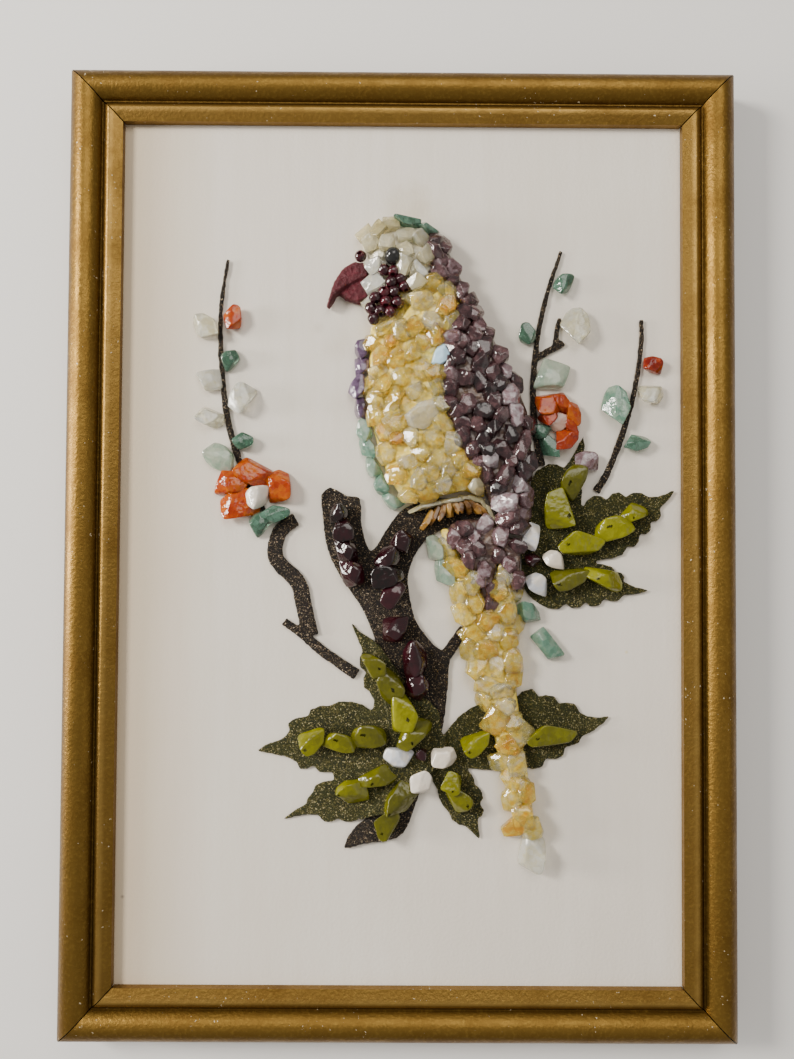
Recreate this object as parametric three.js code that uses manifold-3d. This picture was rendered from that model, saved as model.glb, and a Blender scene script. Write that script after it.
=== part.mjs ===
// A framed wall picture: gemstone chips laid as a parrot on a branch, in a mitred gold moulding.
// Millimetres, +Z up, the back against a wall at y = 0, and the front looking along -Y.
// The origin is on the flat back of the top rail, halfway along it.
import * as THREE from 'three';
import { ConvexGeometry } from 'three/addons/geometries/ConvexGeometry.js';
import { mergeVertices } from 'three/addons/utils/BufferGeometryUtils.js';
import Module from 'manifold-3d';

const wasm = await Module();
wasm.setup();

// Frame moulding; drops are measured back from its frontmost line
const outerWidth = 229;
const outerHeight = 330;
const railWidth = 19;
const frameDepth = 17;
const cushionRise = 8;
const bevelWidth = 3.9;
const filletWidth = 2.9;
const grooveWidth = 0.7;
const grooveCut = 0.5;
const ridgeDrop = 1.6;
const ridgeFlat = 0.5;
const lipDrop = 3;
const lipThickness = 2.5;
const rebateWidth = 6;
const mitreGap = 0.35;

// Board, and the clearance that touching pieces keep
const boardThickness = 3;
const boardClearance = 0.5;
const gap = 0.3;

// Bare board that is left between the picture and the lip
const sideMargin = 2;
const topMargin = 34;

// Flocked sheets
const branchThickness = 1.2;
const leafThickness = 1;
const stemThickness = 1;

// Padded relief under the mosaics: height at its edge, rise, and the distance it rises over
const birdEdge = 3;
const birdRise = 5;
const birdRun = 16;
const tailEdge = 2.2;
const tailRise = 1.8;
const tailRun = 6;
const featherEdge = 3.6;
const featherRise = 1.6;
const cheekHeight = 4.6;
const cutHeight = 12;

// Beak: heights of its two halves, and how far their tops are rounded in
const beakHeight = 4.6;
const beakRound = 0.5;
const lowerBeakHeight = 3.8;
const lowerBeakRound = 0.6;

// Mosaic chips: their spacing, and how far they stand above the joints between them
const citrineChip = 6.9;
const amethystChip = 6.3;
const quartzChip = 5.8;
const featherChip = 5;
const chipRise = 0.8;
const shortestSide = 0.4;

// The same as shares of a chip's width: flat top, tilt, height, place, row and rim
const chipFlat = 0.7;
const chipTilt = 0.24;
const chipLowest = 0.55;
const chipSpread = 0.9;
const placeSpread = 0.4;
const rowShare = 0.87;
const rimShare = 0.22;

// Beads
const eyeDiameter = 6;
const eyeLift = 0.8;
const nostrilDiameter = 4.2;
const nostrilHeight = 4.4;
const cheekDiameter = 4.3;

// Loose stones: sides, smallest corner and how much a corner varies, then the outline at each level
const stoneSides = 6;
const cornerLeast = 0.98;
const cornerSpread = 0.14;
const topDip = 0.16;
const stoneLevels = [[0, 0.8], [0.4, 1], [1, 0.56]];

// Lines of the bird on the board, from the middle of the picture, x to the right and y up
const crown = [[-11, 110.5], [-6, 111.7], [-1, 112], [4, 110.3]];
const nape = [9.5, 107.3];
const back = [
  [13.5, 106], [16.5, 101], [20.5, 92], [26, 80.5], [32, 71], [38.5, 58.5], [43, 47],
  [44.2, 37], [44.2, 28], [43.5, 19], [42, 12],
];
const rump = [40.3, 5.5];
const vent = [[36.5, 5.6], [33.5, 10.5]];
const belly = [29, 17.5];
const lap = [[21.5, 20.3], [12, 18], [7, 16.8], [2, 16.5], [-0.5, 19]];
const chest = [
  [-4.5, 24.5], [-7.5, 33], [-10, 42.5], [-11, 52.5], [-11.2, 64.5], [-11, 72],
];
const throat = [-10.8, 76.5];
const face = [
  [-11.4, 81.5], [-10.7, 87.5], [-11.6, 95], [-12.2, 100.5], [-13.8, 103], [-13.4, 107],
];
const collar = [10, 94.5];
const headSide = [[6.8, 104], [9.3, 99]];
const jaw = [[-6, 77.3], [-1.8, 81], [1.5, 86.8], [6, 89.5]];
const wingFront = [
  [13, 91.5], [17.8, 88], [20, 83.5], [18.3, 78], [15.5, 72], [13.2, 62], [14, 53],
  [16, 43], [20, 37], [25, 28],
];
const cheek = [
  [-12.8, 74.6], [-6, 74.2], [0.2, 78.4], [3.4, 83], [4.4, 88.6], [1.8, 93.4], [-2.4, 96.6],
  [-8.7, 97], [-8.7, 91], [-12.8, 87.8],
];

const leftFeather = [
  [16.3, 9], [22, 11], [28, 10.8], [33, 9.2], [35.4, 4], [33, -3], [31, -12],
  [29.8, -23], [26.6, -14], [22.6, -4.5], [18.2, 1],
];
const rightFeather = [
  [34, 8], [36.4, 4.6], [40.4, 4.4], [40.3, -5], [39.6, -15.5], [37, -9], [34, 1],
];
const tail = [
  [13.2, 7.5], [18.4, -13], [21, -24], [25, -41.5], [28.5, -52], [32, -64], [34.5, -75.5],
  [37.5, -86.5], [38.6, -93.6], [46.2, -93.6], [44.5, -83], [42, -66], [39.7, -48],
  [38.6, -30], [38.4, -3], [34, 7], [24, 10],
];
const beakUpper = [
  [-12.8, 97.4], [-16.5, 98], [-20.6, 95], [-23.4, 90.6], [-25.7, 82.4], [-24.6, 82.2],
  [-22.2, 86.4], [-17.5, 89.6], [-11.5, 92.9], [-11.2, 95.5],
];
const beakLower = [
  [-21.4, 86.9], [-17.2, 89.9], [-11.2, 93.2], [-11, 85.6], [-14.4, 84], [-18.6, 84.9],
];

// Outlines and centre lines of the flocked sheets
const branchOutline = [
  [-27, 19], [-24, 21.5], [-18.5, 18.5], [-14, 18], [-13.4, 10], [-10.2, -0.6], [-5.5, 6.5],
  [-0.5, 13], [5, 16.5], [12, 18], [26.5, 16.8], [29.5, 12.6], [19.5, 9.5], [13, 6.5], [8, 3],
  [4.5, -2.5], [2.5, -8.5], [3, -14.5], [5, -23], [8.5, -28.5], [14.3, -33.6], [20.3, -25.2],
  [22.9, -26.7], [17, -37], [16.5, -44], [13.5, -66], [9, -76], [6, -84], [3, -92.5], [-1, -96.8],
  [-11.5, -98.6], [-18.5, -100], [-14.5, -92.5], [-6, -86], [-2.5, -74], [-2, -60], [-4.5, -47.5],
  [-9.2, -28], [-14.5, -17], [-20.5, -9], [-25, 1], [-26.6, 11.5],
];
const twig = [
  [-35.5, 10.6], [-40.5, 7], [-42.5, 2], [-42, -3.5], [-34.6, -11], [-33, -17.5], [-30.4, -29],
];
const twigSide = [[-39.4, -24], [-32.5, -29], [-25, -35], [-14.6, -42]];
const leftStem = [
  [-59.5, 99.5], [-61.6, 85.5], [-62, 75], [-60.5, 53], [-58.5, 41.5], [-53, 25], [-46, 11.4],
];
const centreStem = [
  [54.5, 103], [49.5, 87.5], [46.4, 73], [45, 58], [45.1, 47], [46.6, 36], [48, 29],
];
const centreFork = [[46, 66], [50, 68.5], [55.5, 71.5]];
const centreTwig = [[52.6, 69.6], [53, 75], [54, 80]];
const rightStem = [[82, 79.5], [82, 72], [79.5, 54.5], [74.5, 37.5], [69.8, 26], [66.4, 20.4]];

// The two leaves, cut with scalloped edges
const lowerLeafEdge = [
  [-16.4, -24.5], [-13.7, -27.5], [-10.2, -29.5], [-6.8, -31.9], [-3.8, -36.3], [-0.5, -40.7],
  [2.9, -45.5], [6.5, -48.5], [10.3, -50.7], [13.5, -54.3], [14.2, -59.8], [14.6, -62.4],
  [16.4, -60.2], [19.9, -55.9], [24.3, -52.7], [28.7, -51.2], [34.2, -49.9], [39.6, -49],
  [41.4, -47.3], [45, -46.5], [47.1, -49], [49.4, -48.4], [52.4, -48.9], [53.9, -51.3],
  [56.4, -50.9], [59.3, -51.3], [60.8, -54.1], [63.4, -55.6], [66.6, -55.8], [71.1, -55.6],
  [68.6, -58.3], [65.8, -60.5], [61.8, -62.6], [60.6, -64.8], [57.8, -65.7], [56.2, -66.2],
  [55.5, -69.1], [52.7, -70.3], [49.5, -70], [48.3, -72.6], [45.1, -73.5], [41.5, -72.5],
  [36.8, -73.5], [32, -74], [27.2, -73.7], [23.2, -73.2], [21, -72.3], [23.6, -74.3], [25.3, -76.7],
  [25.5, -78.6], [27.7, -80.5], [28.5, -83.2], [27.5, -85.1], [28.7, -87.2], [28, -89.3],
  [26.7, -90.1], [27.2, -97.1], [25, -95.1], [22.4, -92.7], [20.2, -92.2], [17.8, -90.6],
  [16.8, -88], [14.8, -86.1], [13.4, -83.5], [12.8, -80.4], [11.2, -77.7], [10.9, -74.9],
  [8.9, -76.1], [7, -79.7], [5, -83.2], [1.1, -86.1], [-2.9, -88.3], [-8.4, -89], [-11.6, -89.8],
  [-13.5, -90.3], [-15.1, -91.3], [-17.9, -91.6], [-20.5, -90.3], [-22.3, -91.4], [-25.2, -91.5],
  [-27.4, -89.3], [-30.6, -89], [-34.6, -89.7], [-39.3, -90.8], [-35.8, -87.9], [-31.6, -85.6],
  [-30.9, -83.3], [-29, -81.4], [-28.2, -79.1], [-25.2, -77.9], [-22, -77.4], [-22.5, -74.7],
  [-24.4, -75], [-27.2, -74.7], [-29.1, -72.7], [-30.8, -73.9], [-33.6, -73.9], [-34.8, -71.5],
  [-38, -69.8], [-42.4, -68.8], [-48.4, -67.7], [-44, -65.3], [-39.5, -63.6], [-36.9, -60.8],
  [-37.8, -58.6], [-35.2, -56.7], [-31, -56], [-30.3, -53.9], [-27.1, -52.5], [-23.3, -52.3],
  [-20.6, -51.1], [-16.6, -51], [-12.6, -51.9], [-9.7, -54.1], [-8.8, -52.7], [-8.6, -50.3],
  [-10.4, -47.7], [-12.3, -46.3], [-12.4, -43.5], [-11.4, -41.1], [-13.4, -39.5], [-13.9, -36.7],
  [-12.8, -33.9], [-14.2, -30.7], [-15.6, -27.3],
];
const upperLeafEdge = [
  [62.1, 39.6], [62.7, 36.3], [62.2, 32.4], [61.9, 30.2], [63.1, 28], [62.8, 25.1], [61.7, 23],
  [61.9, 20.4], [61.5, 17.5], [61.7, 14.7], [63.3, 17.5], [65.5, 19], [68.3, 19], [70, 17.8],
  [71.9, 19.9], [74.5, 20.4], [76.5, 18.7], [78.9, 20.3], [81.9, 20.2], [83.9, 18.9], [88, 19],
  [93.5, 21.3], [91, 17.6], [88.4, 14.9], [88.7, 12.2], [87.1, 10.3], [85.1, 10.2], [85.2, 7.5],
  [83.4, 6], [81.3, 6.1], [81.2, 3.5], [79.4, 1.7], [77.2, 1.7], [75.6, -0.8], [72.2, -2.2],
  [68.1, -2.7], [64.4, -3.8], [68.5, -4.1], [71.8, -5], [73, -6.7], [75.1, -6.9], [76.3, -8.5],
  [75.8, -10], [79.8, -11.8], [84.7, -13.1], [80.3, -14.2], [76.1, -14.6], [73.9, -16.6],
  [71.2, -17], [69.3, -15.9], [67.3, -18.3], [64.4, -18.6], [63, -17], [61, -19], [58, -19.1],
  [56.3, -17.5], [53.9, -19.5], [50.4, -19.5], [47, -17.8], [43.5, -15], [41.3, -11.6],
  [41, -7.2], [40.9, -2], [41.2, 4], [42, 9.3], [42.5, 13.6], [42.3, 18], [42.9, 21.5],
  [44.7, 25.1], [46.5, 28.1], [48.3, 28.8], [50.2, 29.9], [53.3, 29.8], [55.4, 28.6], [57.3, 30.6],
  [59.5, 34.6],
];

// Loose stones: x, y, length, width, height above what they lie on, turn in degrees
const chestRow = [
  [-13.9, 69, 8.4, 4.1, 4, 82], [-13.9, 62.2, 6.6, 4.2, 3.8, 95],
  [-15, 55.4, 8.6, 5.6, 4.2, 70], [-13.9, 48, 8, 4.6, 4, 100],
];
const bellyRow = [
  [-13.3, 40.6, 7.6, 5, 3.6, 108], [-12, 34.8, 8.2, 4.6, 3.6, 105], [-10, 28.2, 8, 4.6, 3.4, 112],
  [-7.2, 22, 8, 4.8, 3.6, 122], [-3.2, 16.8, 7.6, 4.8, 3.6, 140],
];
const claws = [
  [9, 10.6, 8.6, 3.2, 2.4, 62], [11.6, 12.6, 7, 3.2, 2.6, 75], [14.4, 13.6, 7, 3.4, 2.6, 60],
  [17.4, 14.8, 6.4, 3.4, 2.6, 50], [20.2, 15.8, 6, 3.4, 2.6, 118], [22.8, 15.6, 6.4, 3.4, 2.4, 130],
  [25.8, 14.4, 6, 3.4, 2.4, 150],
];
const crownSlivers = [[1.6, 111, 9, 3.6, 9, -8], [8.6, 108.6, 7.6, 3, 8.6, -24]];
const tailTip = [44.6, -100.6, 13.4, 10, 5, 98];
const tailLeft = [[11.4, 1, 8.8, 6, 4, 115], [15, -7.4, 9.8, 6.4, 3.6, 100]];
const tailRightUpper = [43.4, -20.8, 8.8, 6.4, 3.8, -50];
const tailRightLower = [49.8, -31.6, 11.4, 5.8, 3.6, -52];

const leftPetals = [
  [-50, 26.2, 12.6, 8.4, 4, -12], [-57.2, 22.4, 9.6, 9.2, 3.8, 70],
  [-41.6, 21.4, 10, 9.4, 3.6, 120], [-54.6, 14.8, 12.4, 10.4, 3.8, 35],
];
const leftHeart = [-49, 18, 8.6, 7.8, 5.2, 80];
const leftSepals = [[-42.4, 12.2, 10, 5.6, 4.2, 14], [-47.6, 9.4, 8, 7.2, 4.4, 40]];
const centrePetals = [
  [49.8, 49, 8.6, 8.4, 4, 30], [57.4, 46.4, 9, 7.6, 3.6, -50], [56.6, 38.8, 9.6, 7.2, 3.8, 40],
  [52.6, 43.6, 6, 6, 4.6, 0],
];
const centreGreens = [[47.6, 41, 5.8, 5, 3.4, 60], [50.2, 35.6, 8.8, 5.2, 3.8, 108]];

const jadeUpper = [
  [[57.8, 23.8, 12.6, 7.6, 4.2, 72], [53, 14.6, 13.6, 9.2, 4.6, 96]],
  [[60.6, 3, 16, 8.2, 4.4, 6], [71.4, 8, 13.6, 8, 4.2, 24], [79, 12.6, 8.4, 7, 3.8, 50]],
  [[57.2, -9.4, 12.8, 7, 4.2, 6], [68.4, -9.4, 13.8, 7, 4.2, -8]],
];
const jadeLower = [
  [[-8.4, -38, 10, 6.6, 4, 122], [-3.6, -45, 11.4, 8.2, 4.2, 126], [1.4, -53.2, 15, 8.8, 4.8, 96],
    [5, -61.4, 12, 9, 4.6, 70]],
  [[-28.8, -64, 9.4, 7.4, 4, 20], [-20.2, -64, 11.6, 6.2, 3.8, -6], [-10.8, -62, 12.6, 7.8, 4.2, 10]],
  [[-7, -76.4, 12.4, 7, 4, 28], [-15.8, -80.8, 10.4, 7.8, 4, 12]],
  [[0.2, -83.2, 12.8, 8.4, 4.6, 56], [-4.2, -90.6, 11.2, 7.8, 4.2, 62]],
  [[26, -64.6, 10, 6.8, 4, 20]],
  [[50.8, -61.4, 17, 7.6, 4.2, 8]],
  [[17.2, -77.4, 7.8, 7.2, 4, 100], [20.2, -82.6, 8.8, 7, 3.8, 120]],
];
const garnets = [
  [[-20.8, 12.6, 6.6, 6.2, 4.2, 90], [-19.4, 6.8, 7.6, 7, 4.4, 100], [-18.2, -0.2, 8.6, 7, 4.4, 100],
    [-16.2, -7.4, 9.2, 7.6, 4.6, 100]],
  [[0.6, 2.8, 7.6, 7.2, 4.6, 45], [-4, -2.4, 8.8, 7.4, 4.8, 60], [-4.4, -8.6, 11, 7.4, 4.8, 10],
    [-2.8, -14.4, 10, 6.8, 4.6, 50]],
  [[-1.6, -26.4, 8.6, 8.4, 5, 0]],
  [[5, -36.2, 12.8, 8, 5.2, 96], [5.8, -44.8, 9.4, 8, 4.8, 60]],
];
const whites = {
  upper_leaf_shell_top: [44.2, 5, 9.6, 6.2, 3.6, 95],
  upper_leaf_howlite: [51.8, -2.6, 8, 5.8, 3.4, -10],
  upper_leaf_shell_bottom: [46.2, -10.8, 8.4, 6.6, 3.6, -20],
  lower_leaf_howlite_left: [-0.6, -69, 9.4, 7.4, 4, 160],
  lower_leaf_howlite_right: [14.6, -68.8, 8.6, 7.6, 4, 20],
  lower_leaf_howlite_bottom: [7, -77, 8.2, 7, 4, 60],
};
const stemChips = {
  left_stem_quartz_top: [-66.8, 76, 9.8, 7.4, 3.8, 120],
  left_stem_quartz_middle: [-54.2, 51.4, 10.4, 8.8, 4, 80],
  left_stem_green_bottom: [-61.6, 31.4, 11.2, 8.6, 3.8, -20],
  centre_stem_quartz: [59.4, 77, 11.4, 10, 4, 60],
  centre_stem_green: [51.2, 59.4, 11.2, 9.8, 4, 70],
  right_stem_green: [73, 50, 12.6, 9, 4, 75],
};
const eyePlace = [-3.1, 98.3];
const nostrilPlace = [-14.1, 99.5];
const cheekBeads = [
  [-6.1, 94], [-3, 93.4], [-0.4, 91], [-3.6, 89.9], [1, 88.4], [-2.6, 86.6], [-6, 86.6],
  [-9, 84.6], [-5.4, 83.2], [-1.6, 83], [-10.4, 81], [-7.4, 80], [-4, 79.8], [-9.6, 77.4],
];

// Sizes that follow from the ones above
const sightWidth = outerWidth - 2 * railWidth;
const sightHeight = outerHeight - 2 * railWidth;
const lipDepth = frameDepth - lipDrop;
const rebateDepth = lipDepth - lipThickness;
const boardFace = rebateDepth - gap;
const backStrip = railWidth - rebateWidth;
const leafTip = Math.max(...upperLeafEdge.map((point) => point[0]));
const crownTop = Math.max(...crown.map((point) => point[1]));
const plan = Math.min(
  (sightWidth / 2 - sideMargin) / leafTip, (sightHeight / 2 - topMargin) / crownTop,
);
const branchTop = gap + branchThickness;
const leafTop = gap + leafThickness;
const drapedTop = branchTop + gap + leafThickness;

const finishes = {
  gilt: { color: '#9c7a35', roughness: 0.38, metalness: 0.65 },
  card: { color: '#dcd4c6', roughness: 0.9, metalness: 0 },
  branch: { color: '#1b1310', roughness: 0.85, metalness: 0 },
  leaf: { color: '#3a3f1a', roughness: 0.8, metalness: 0 },
  citrine: { color: '#dcb95c', roughness: 0.15, metalness: 0 },
  amethyst: { color: '#5d4560', roughness: 0.15, metalness: 0 },
  quartz: { color: '#d6d2bf', roughness: 0.2, metalness: 0 },
  aventurine: { color: '#5f9a7c', roughness: 0.2, metalness: 0 },
  garnet: { color: '#3c0f1e', roughness: 0.12, metalness: 0 },
  hematite: { color: '#2a2a2a', roughness: 0.12, metalness: 0.6 },
  beak: { color: '#7d2338', roughness: 0.55, metalness: 0 },
  claw: { color: '#9a6a1e', roughness: 0.35, metalness: 0.3 },
  carnelian: { color: '#d84c12', roughness: 0.18, metalness: 0 },
  jade: { color: '#98a528', roughness: 0.22, metalness: 0 },
  howlite: { color: '#dcd6cf', roughness: 0.3, metalness: 0 },
};

function finish(name) {
  return new THREE.MeshStandardMaterial(finishes[name]);
}

// Random numbers that are the same on every run
function seeded(seed) {
  let state = seed;
  return () => {
    state = (state * 1103515245 + 12345) % 2147483648;
    return state / 2147483648;
  };
}

// Closed solids from three.js geometry, and back
function weld(geometry) {
  const bare = new THREE.BufferGeometry();
  bare.setAttribute('position', geometry.getAttribute('position'));
  bare.setIndex(geometry.getIndex());
  return mergeVertices(bare, 1e-4);
}

function signedVolume(geometry) {
  const position = geometry.getAttribute('position');
  const index = geometry.getIndex();
  const [a, b, c] = [new THREE.Vector3(), new THREE.Vector3(), new THREE.Vector3()];
  let volume = 0;
  for (let i = 0; i < index.count; i += 3) {
    a.fromBufferAttribute(position, index.getX(i));
    b.fromBufferAttribute(position, index.getX(i + 1));
    c.fromBufferAttribute(position, index.getX(i + 2));
    volume += a.dot(b.cross(c)) / 6;
  }
  return volume;
}

function faceOutwards(geometry) {
  if (signedVolume(geometry) < 0) {
    const index = geometry.getIndex();
    for (let i = 0; i < index.count; i += 3) {
      const first = index.getX(i);
      index.setX(i, index.getX(i + 1));
      index.setX(i + 1, first);
    }
  }
  return geometry;
}

function solid(geometry) {
  const welded = faceOutwards(weld(geometry));
  return new wasm.Manifold(new wasm.Mesh({
    numProp: 3,
    vertProperties: new Float32Array(welded.getAttribute('position').array),
    triVerts: new Uint32Array(welded.getIndex().array),
  }));
}

function geometryOf(body) {
  const { vertProperties, triVerts } = body.getMesh();
  const geometry = new THREE.BufferGeometry();
  geometry.setAttribute('position', new THREE.BufferAttribute(vertProperties, 3));
  geometry.setIndex(new THREE.BufferAttribute(triVerts, 1));
  return geometry;
}

function indexed(vertices, triangles) {
  const geometry = new THREE.BufferGeometry();
  geometry.setAttribute('position', new THREE.Float32BufferAttribute(vertices.flat(), 3));
  geometry.setIndex(triangles.flat());
  return geometry;
}

function joined(bodies) {
  return bodies.reduce((whole, body) => whole.add(body));
}

function cut(body, tools) {
  return tools.reduce((rest, tool) => rest.subtract(tool), body);
}

// Outlines on the board, fitted to the picture's size and turned anticlockwise
function outline(points) {
  const placed = points.map(([x, y]) => new THREE.Vector2(x * plan, y * plan));
  return THREE.ShapeUtils.isClockWise(placed) ? placed.reverse() : placed;
}

function smooth(points, closed, steps) {
  const curve = new THREE.CatmullRomCurve3(
    points.map(([x, y]) => new THREE.Vector3(x, y, 0)), closed, 'centripetal',
  );
  const spans = closed ? points.length : points.length - 1;
  const count = spans * steps + (closed ? 0 : 1);
  return Array.from({ length: count }, (_, i) => {
    const at = curve.getPoint(i / (spans * steps));
    return [at.x, at.y];
  });
}

// Moves every side of an anticlockwise outline outwards by the amount given
function offset(points, amount) {
  return points.map((point, i) => {
    const before = points[(i + points.length - 1) % points.length];
    const after = points[(i + 1) % points.length];
    const first = point.clone().sub(before).normalize();
    const second = after.clone().sub(point).normalize();
    const normal = new THREE.Vector2(first.y + second.y, -first.x - second.x).normalize();
    const reach = Math.max(0.5, normal.x * first.y - normal.y * first.x);
    return point.clone().addScaledVector(normal, amount / reach);
  });
}

function prism(points, bottom, top) {
  const geometry = new THREE.ExtrudeGeometry(new THREE.Shape(points), {
    depth: top - bottom, bevelEnabled: false,
  });
  return solid(geometry.translate(0, 0, bottom));
}

// A pad with a rounded edge, such as a moulded piece of the beak
function pad(points, height, edge) {
  const rings = [[0, 0.3], [0.3, 0], [0.75, 0.35], [1, 1]];
  const vertices = rings.flatMap(([level, share]) => (
    offset(points, -edge * share).map((point) => [point.x, point.y, gap + level * height])
  ));
  const count = points.length;
  const triangles = [];
  for (let start = 0; start < (rings.length - 1) * count; start += count) {
    for (let i = 0; i < count; i++) {
      const next = (i + 1) % count;
      const [a, b, c, d] = [start + i, start + next, start + count + next, start + count + i];
      triangles.push([a, b, c], [a, c, d]);
    }
  }
  const last = (rings.length - 1) * count;
  for (const face of THREE.ShapeUtils.triangulateShape(points, [])) {
    triangles.push([...face].reverse(), face.map((i) => last + i));
  }
  return solid(indexed(vertices, triangles));
}

// A flat strip along a centre line, tapering from one width to another
function strip(points, startWidth, endWidth, grow = 0) {
  const centre = smooth(points, false, 3).map(([x, y]) => new THREE.Vector2(x * plan, y * plan));
  const left = [];
  const right = [];
  centre.forEach((point, i) => {
    const along = centre[Math.min(i + 1, centre.length - 1)].clone()
      .sub(centre[Math.max(i - 1, 0)]).normalize();
    const across = new THREE.Vector2(-along.y, along.x);
    const width = THREE.MathUtils.lerp(startWidth, endWidth, i / (centre.length - 1)) * plan;
    left.push(point.clone().addScaledVector(across, width / 2 + grow));
    right.push(point.clone().addScaledVector(across, -width / 2 - grow));
  });
  return [...right, ...left.reverse()];
}

// A leaf cut from its drawn edge, grown sideways by the amount given
function leaf(edge, grow, bottom, top) {
  return prism(offset(outline(edge), grow), bottom, top);
}

// A tumbled stone chip with a flat foot; the same place always gives the same stone
function stone([x, y, length, width, height, turn], lift = 0, grow = 0) {
  const random = seeded(Math.round(1000 + 37 * x + 61 * y));
  const angle = THREE.MathUtils.degToRad(turn);
  const corners = Array.from({ length: stoneSides }, () => cornerLeast + cornerSpread * random());
  const foot = lift + gap;
  const tall = height * plan;
  const points = [];
  for (const [level, share] of stoneLevels) {
    corners.forEach((corner, i) => {
      const around = ((i + level * 0.5) / stoneSides) * 2 * Math.PI;
      const along = Math.cos(around) * (length / 2 * plan * corner * share + grow);
      const across = Math.sin(around) * (width / 2 * plan * corner * share + grow);
      const dip = level === 1 ? topDip * random() * tall : 0;
      points.push(new THREE.Vector3(
        x * plan + along * Math.cos(angle) - across * Math.sin(angle),
        y * plan + along * Math.sin(angle) + across * Math.cos(angle),
        foot + level * (tall + grow) - dip,
      ));
    });
  }
  return solid(new ConvexGeometry(points));
}

function stones(specs, lift, clearances = []) {
  return cut(joined(specs.map((spec) => stone(spec, lift))), clearances);
}

function bead(diameter, detail, x, y, height, grow = 0) {
  const ball = new THREE.IcosahedronGeometry(diameter / 2 * plan + grow, detail);
  return solid(ball.translate(x * plan, y * plan, height));
}

// Distance from a point to the nearest side of an outline
function edgeDistance(points, at) {
  const nearest = new THREE.Vector3();
  const probe = new THREE.Vector3(at.x, at.y, 0);
  return Math.min(...points.map((point, i) => {
    const next = points[(i + 1) % points.length];
    const ends = [point, next].map(({ x, y }) => new THREE.Vector3(x, y, 0));
    return new THREE.Line3(...ends).closestPointToPoint(probe, true, nearest).distanceTo(probe);
  }));
}

function padding(points, edge, rise, run) {
  return (at) => {
    const inwards = Math.min(1, edgeDistance(points, at) / run);
    return edge + rise * Math.sqrt(1 - (1 - inwards) ** 2);
  };
}

// Places for chips over an outline as drawn, as far apart as the chips are wide
function spread(drawn, spacing, random) {
  const shape = drawn.map(([x, y]) => new THREE.Vector2(x, y));
  const box = new THREE.Box2().setFromPoints(shape);
  const rowHeight = spacing * rowShare;
  const shift = () => placeSpread * (random() - 0.5);
  const places = [];
  for (let row = 0; box.min.y + row * rowHeight < box.max.y; row++) {
    for (let column = 0; box.min.x + column * spacing < box.max.x + spacing; column++) {
      const at = new THREE.Vector2(
        box.min.x + (column + (row % 2) / 2 + shift()) * spacing,
        box.min.y + (row + 0.5 + shift()) * rowHeight,
      );
      if (isInside(shape, at) && edgeDistance(shape, at) > spacing * rimShare) {
        places.push(at.multiplyScalar(plan));
      }
    }
  }
  return places;
}

function isInside(points, at) {
  let inside = false;
  points.forEach((point, i) => {
    const next = points[(i + 1) % points.length];
    const crosses = (point.y > at.y) !== (next.y > at.y);
    if (crosses && at.x < ((next.x - point.x) * (at.y - point.y)) / (next.y - point.y) + point.x) {
      inside = !inside;
    }
  });
  return inside;
}

// The part of a region that is nearer to one place than to another
function nearer(points, place, other) {
  const middle = place.clone().add(other).multiplyScalar(0.5);
  const towards = other.clone().sub(place);
  const beyond = (point) => point.clone().sub(middle).dot(towards);
  const kept = [];
  points.forEach((point, i) => {
    const next = points[(i + 1) % points.length];
    const [here, there] = [beyond(point), beyond(next)];
    if (here <= 0) kept.push(point);
    if ((here < 0 && there > 0) || (here > 0 && there < 0)) {
      kept.push(point.clone().lerp(next, here / (here - there)));
    }
  });
  return kept;
}

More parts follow.
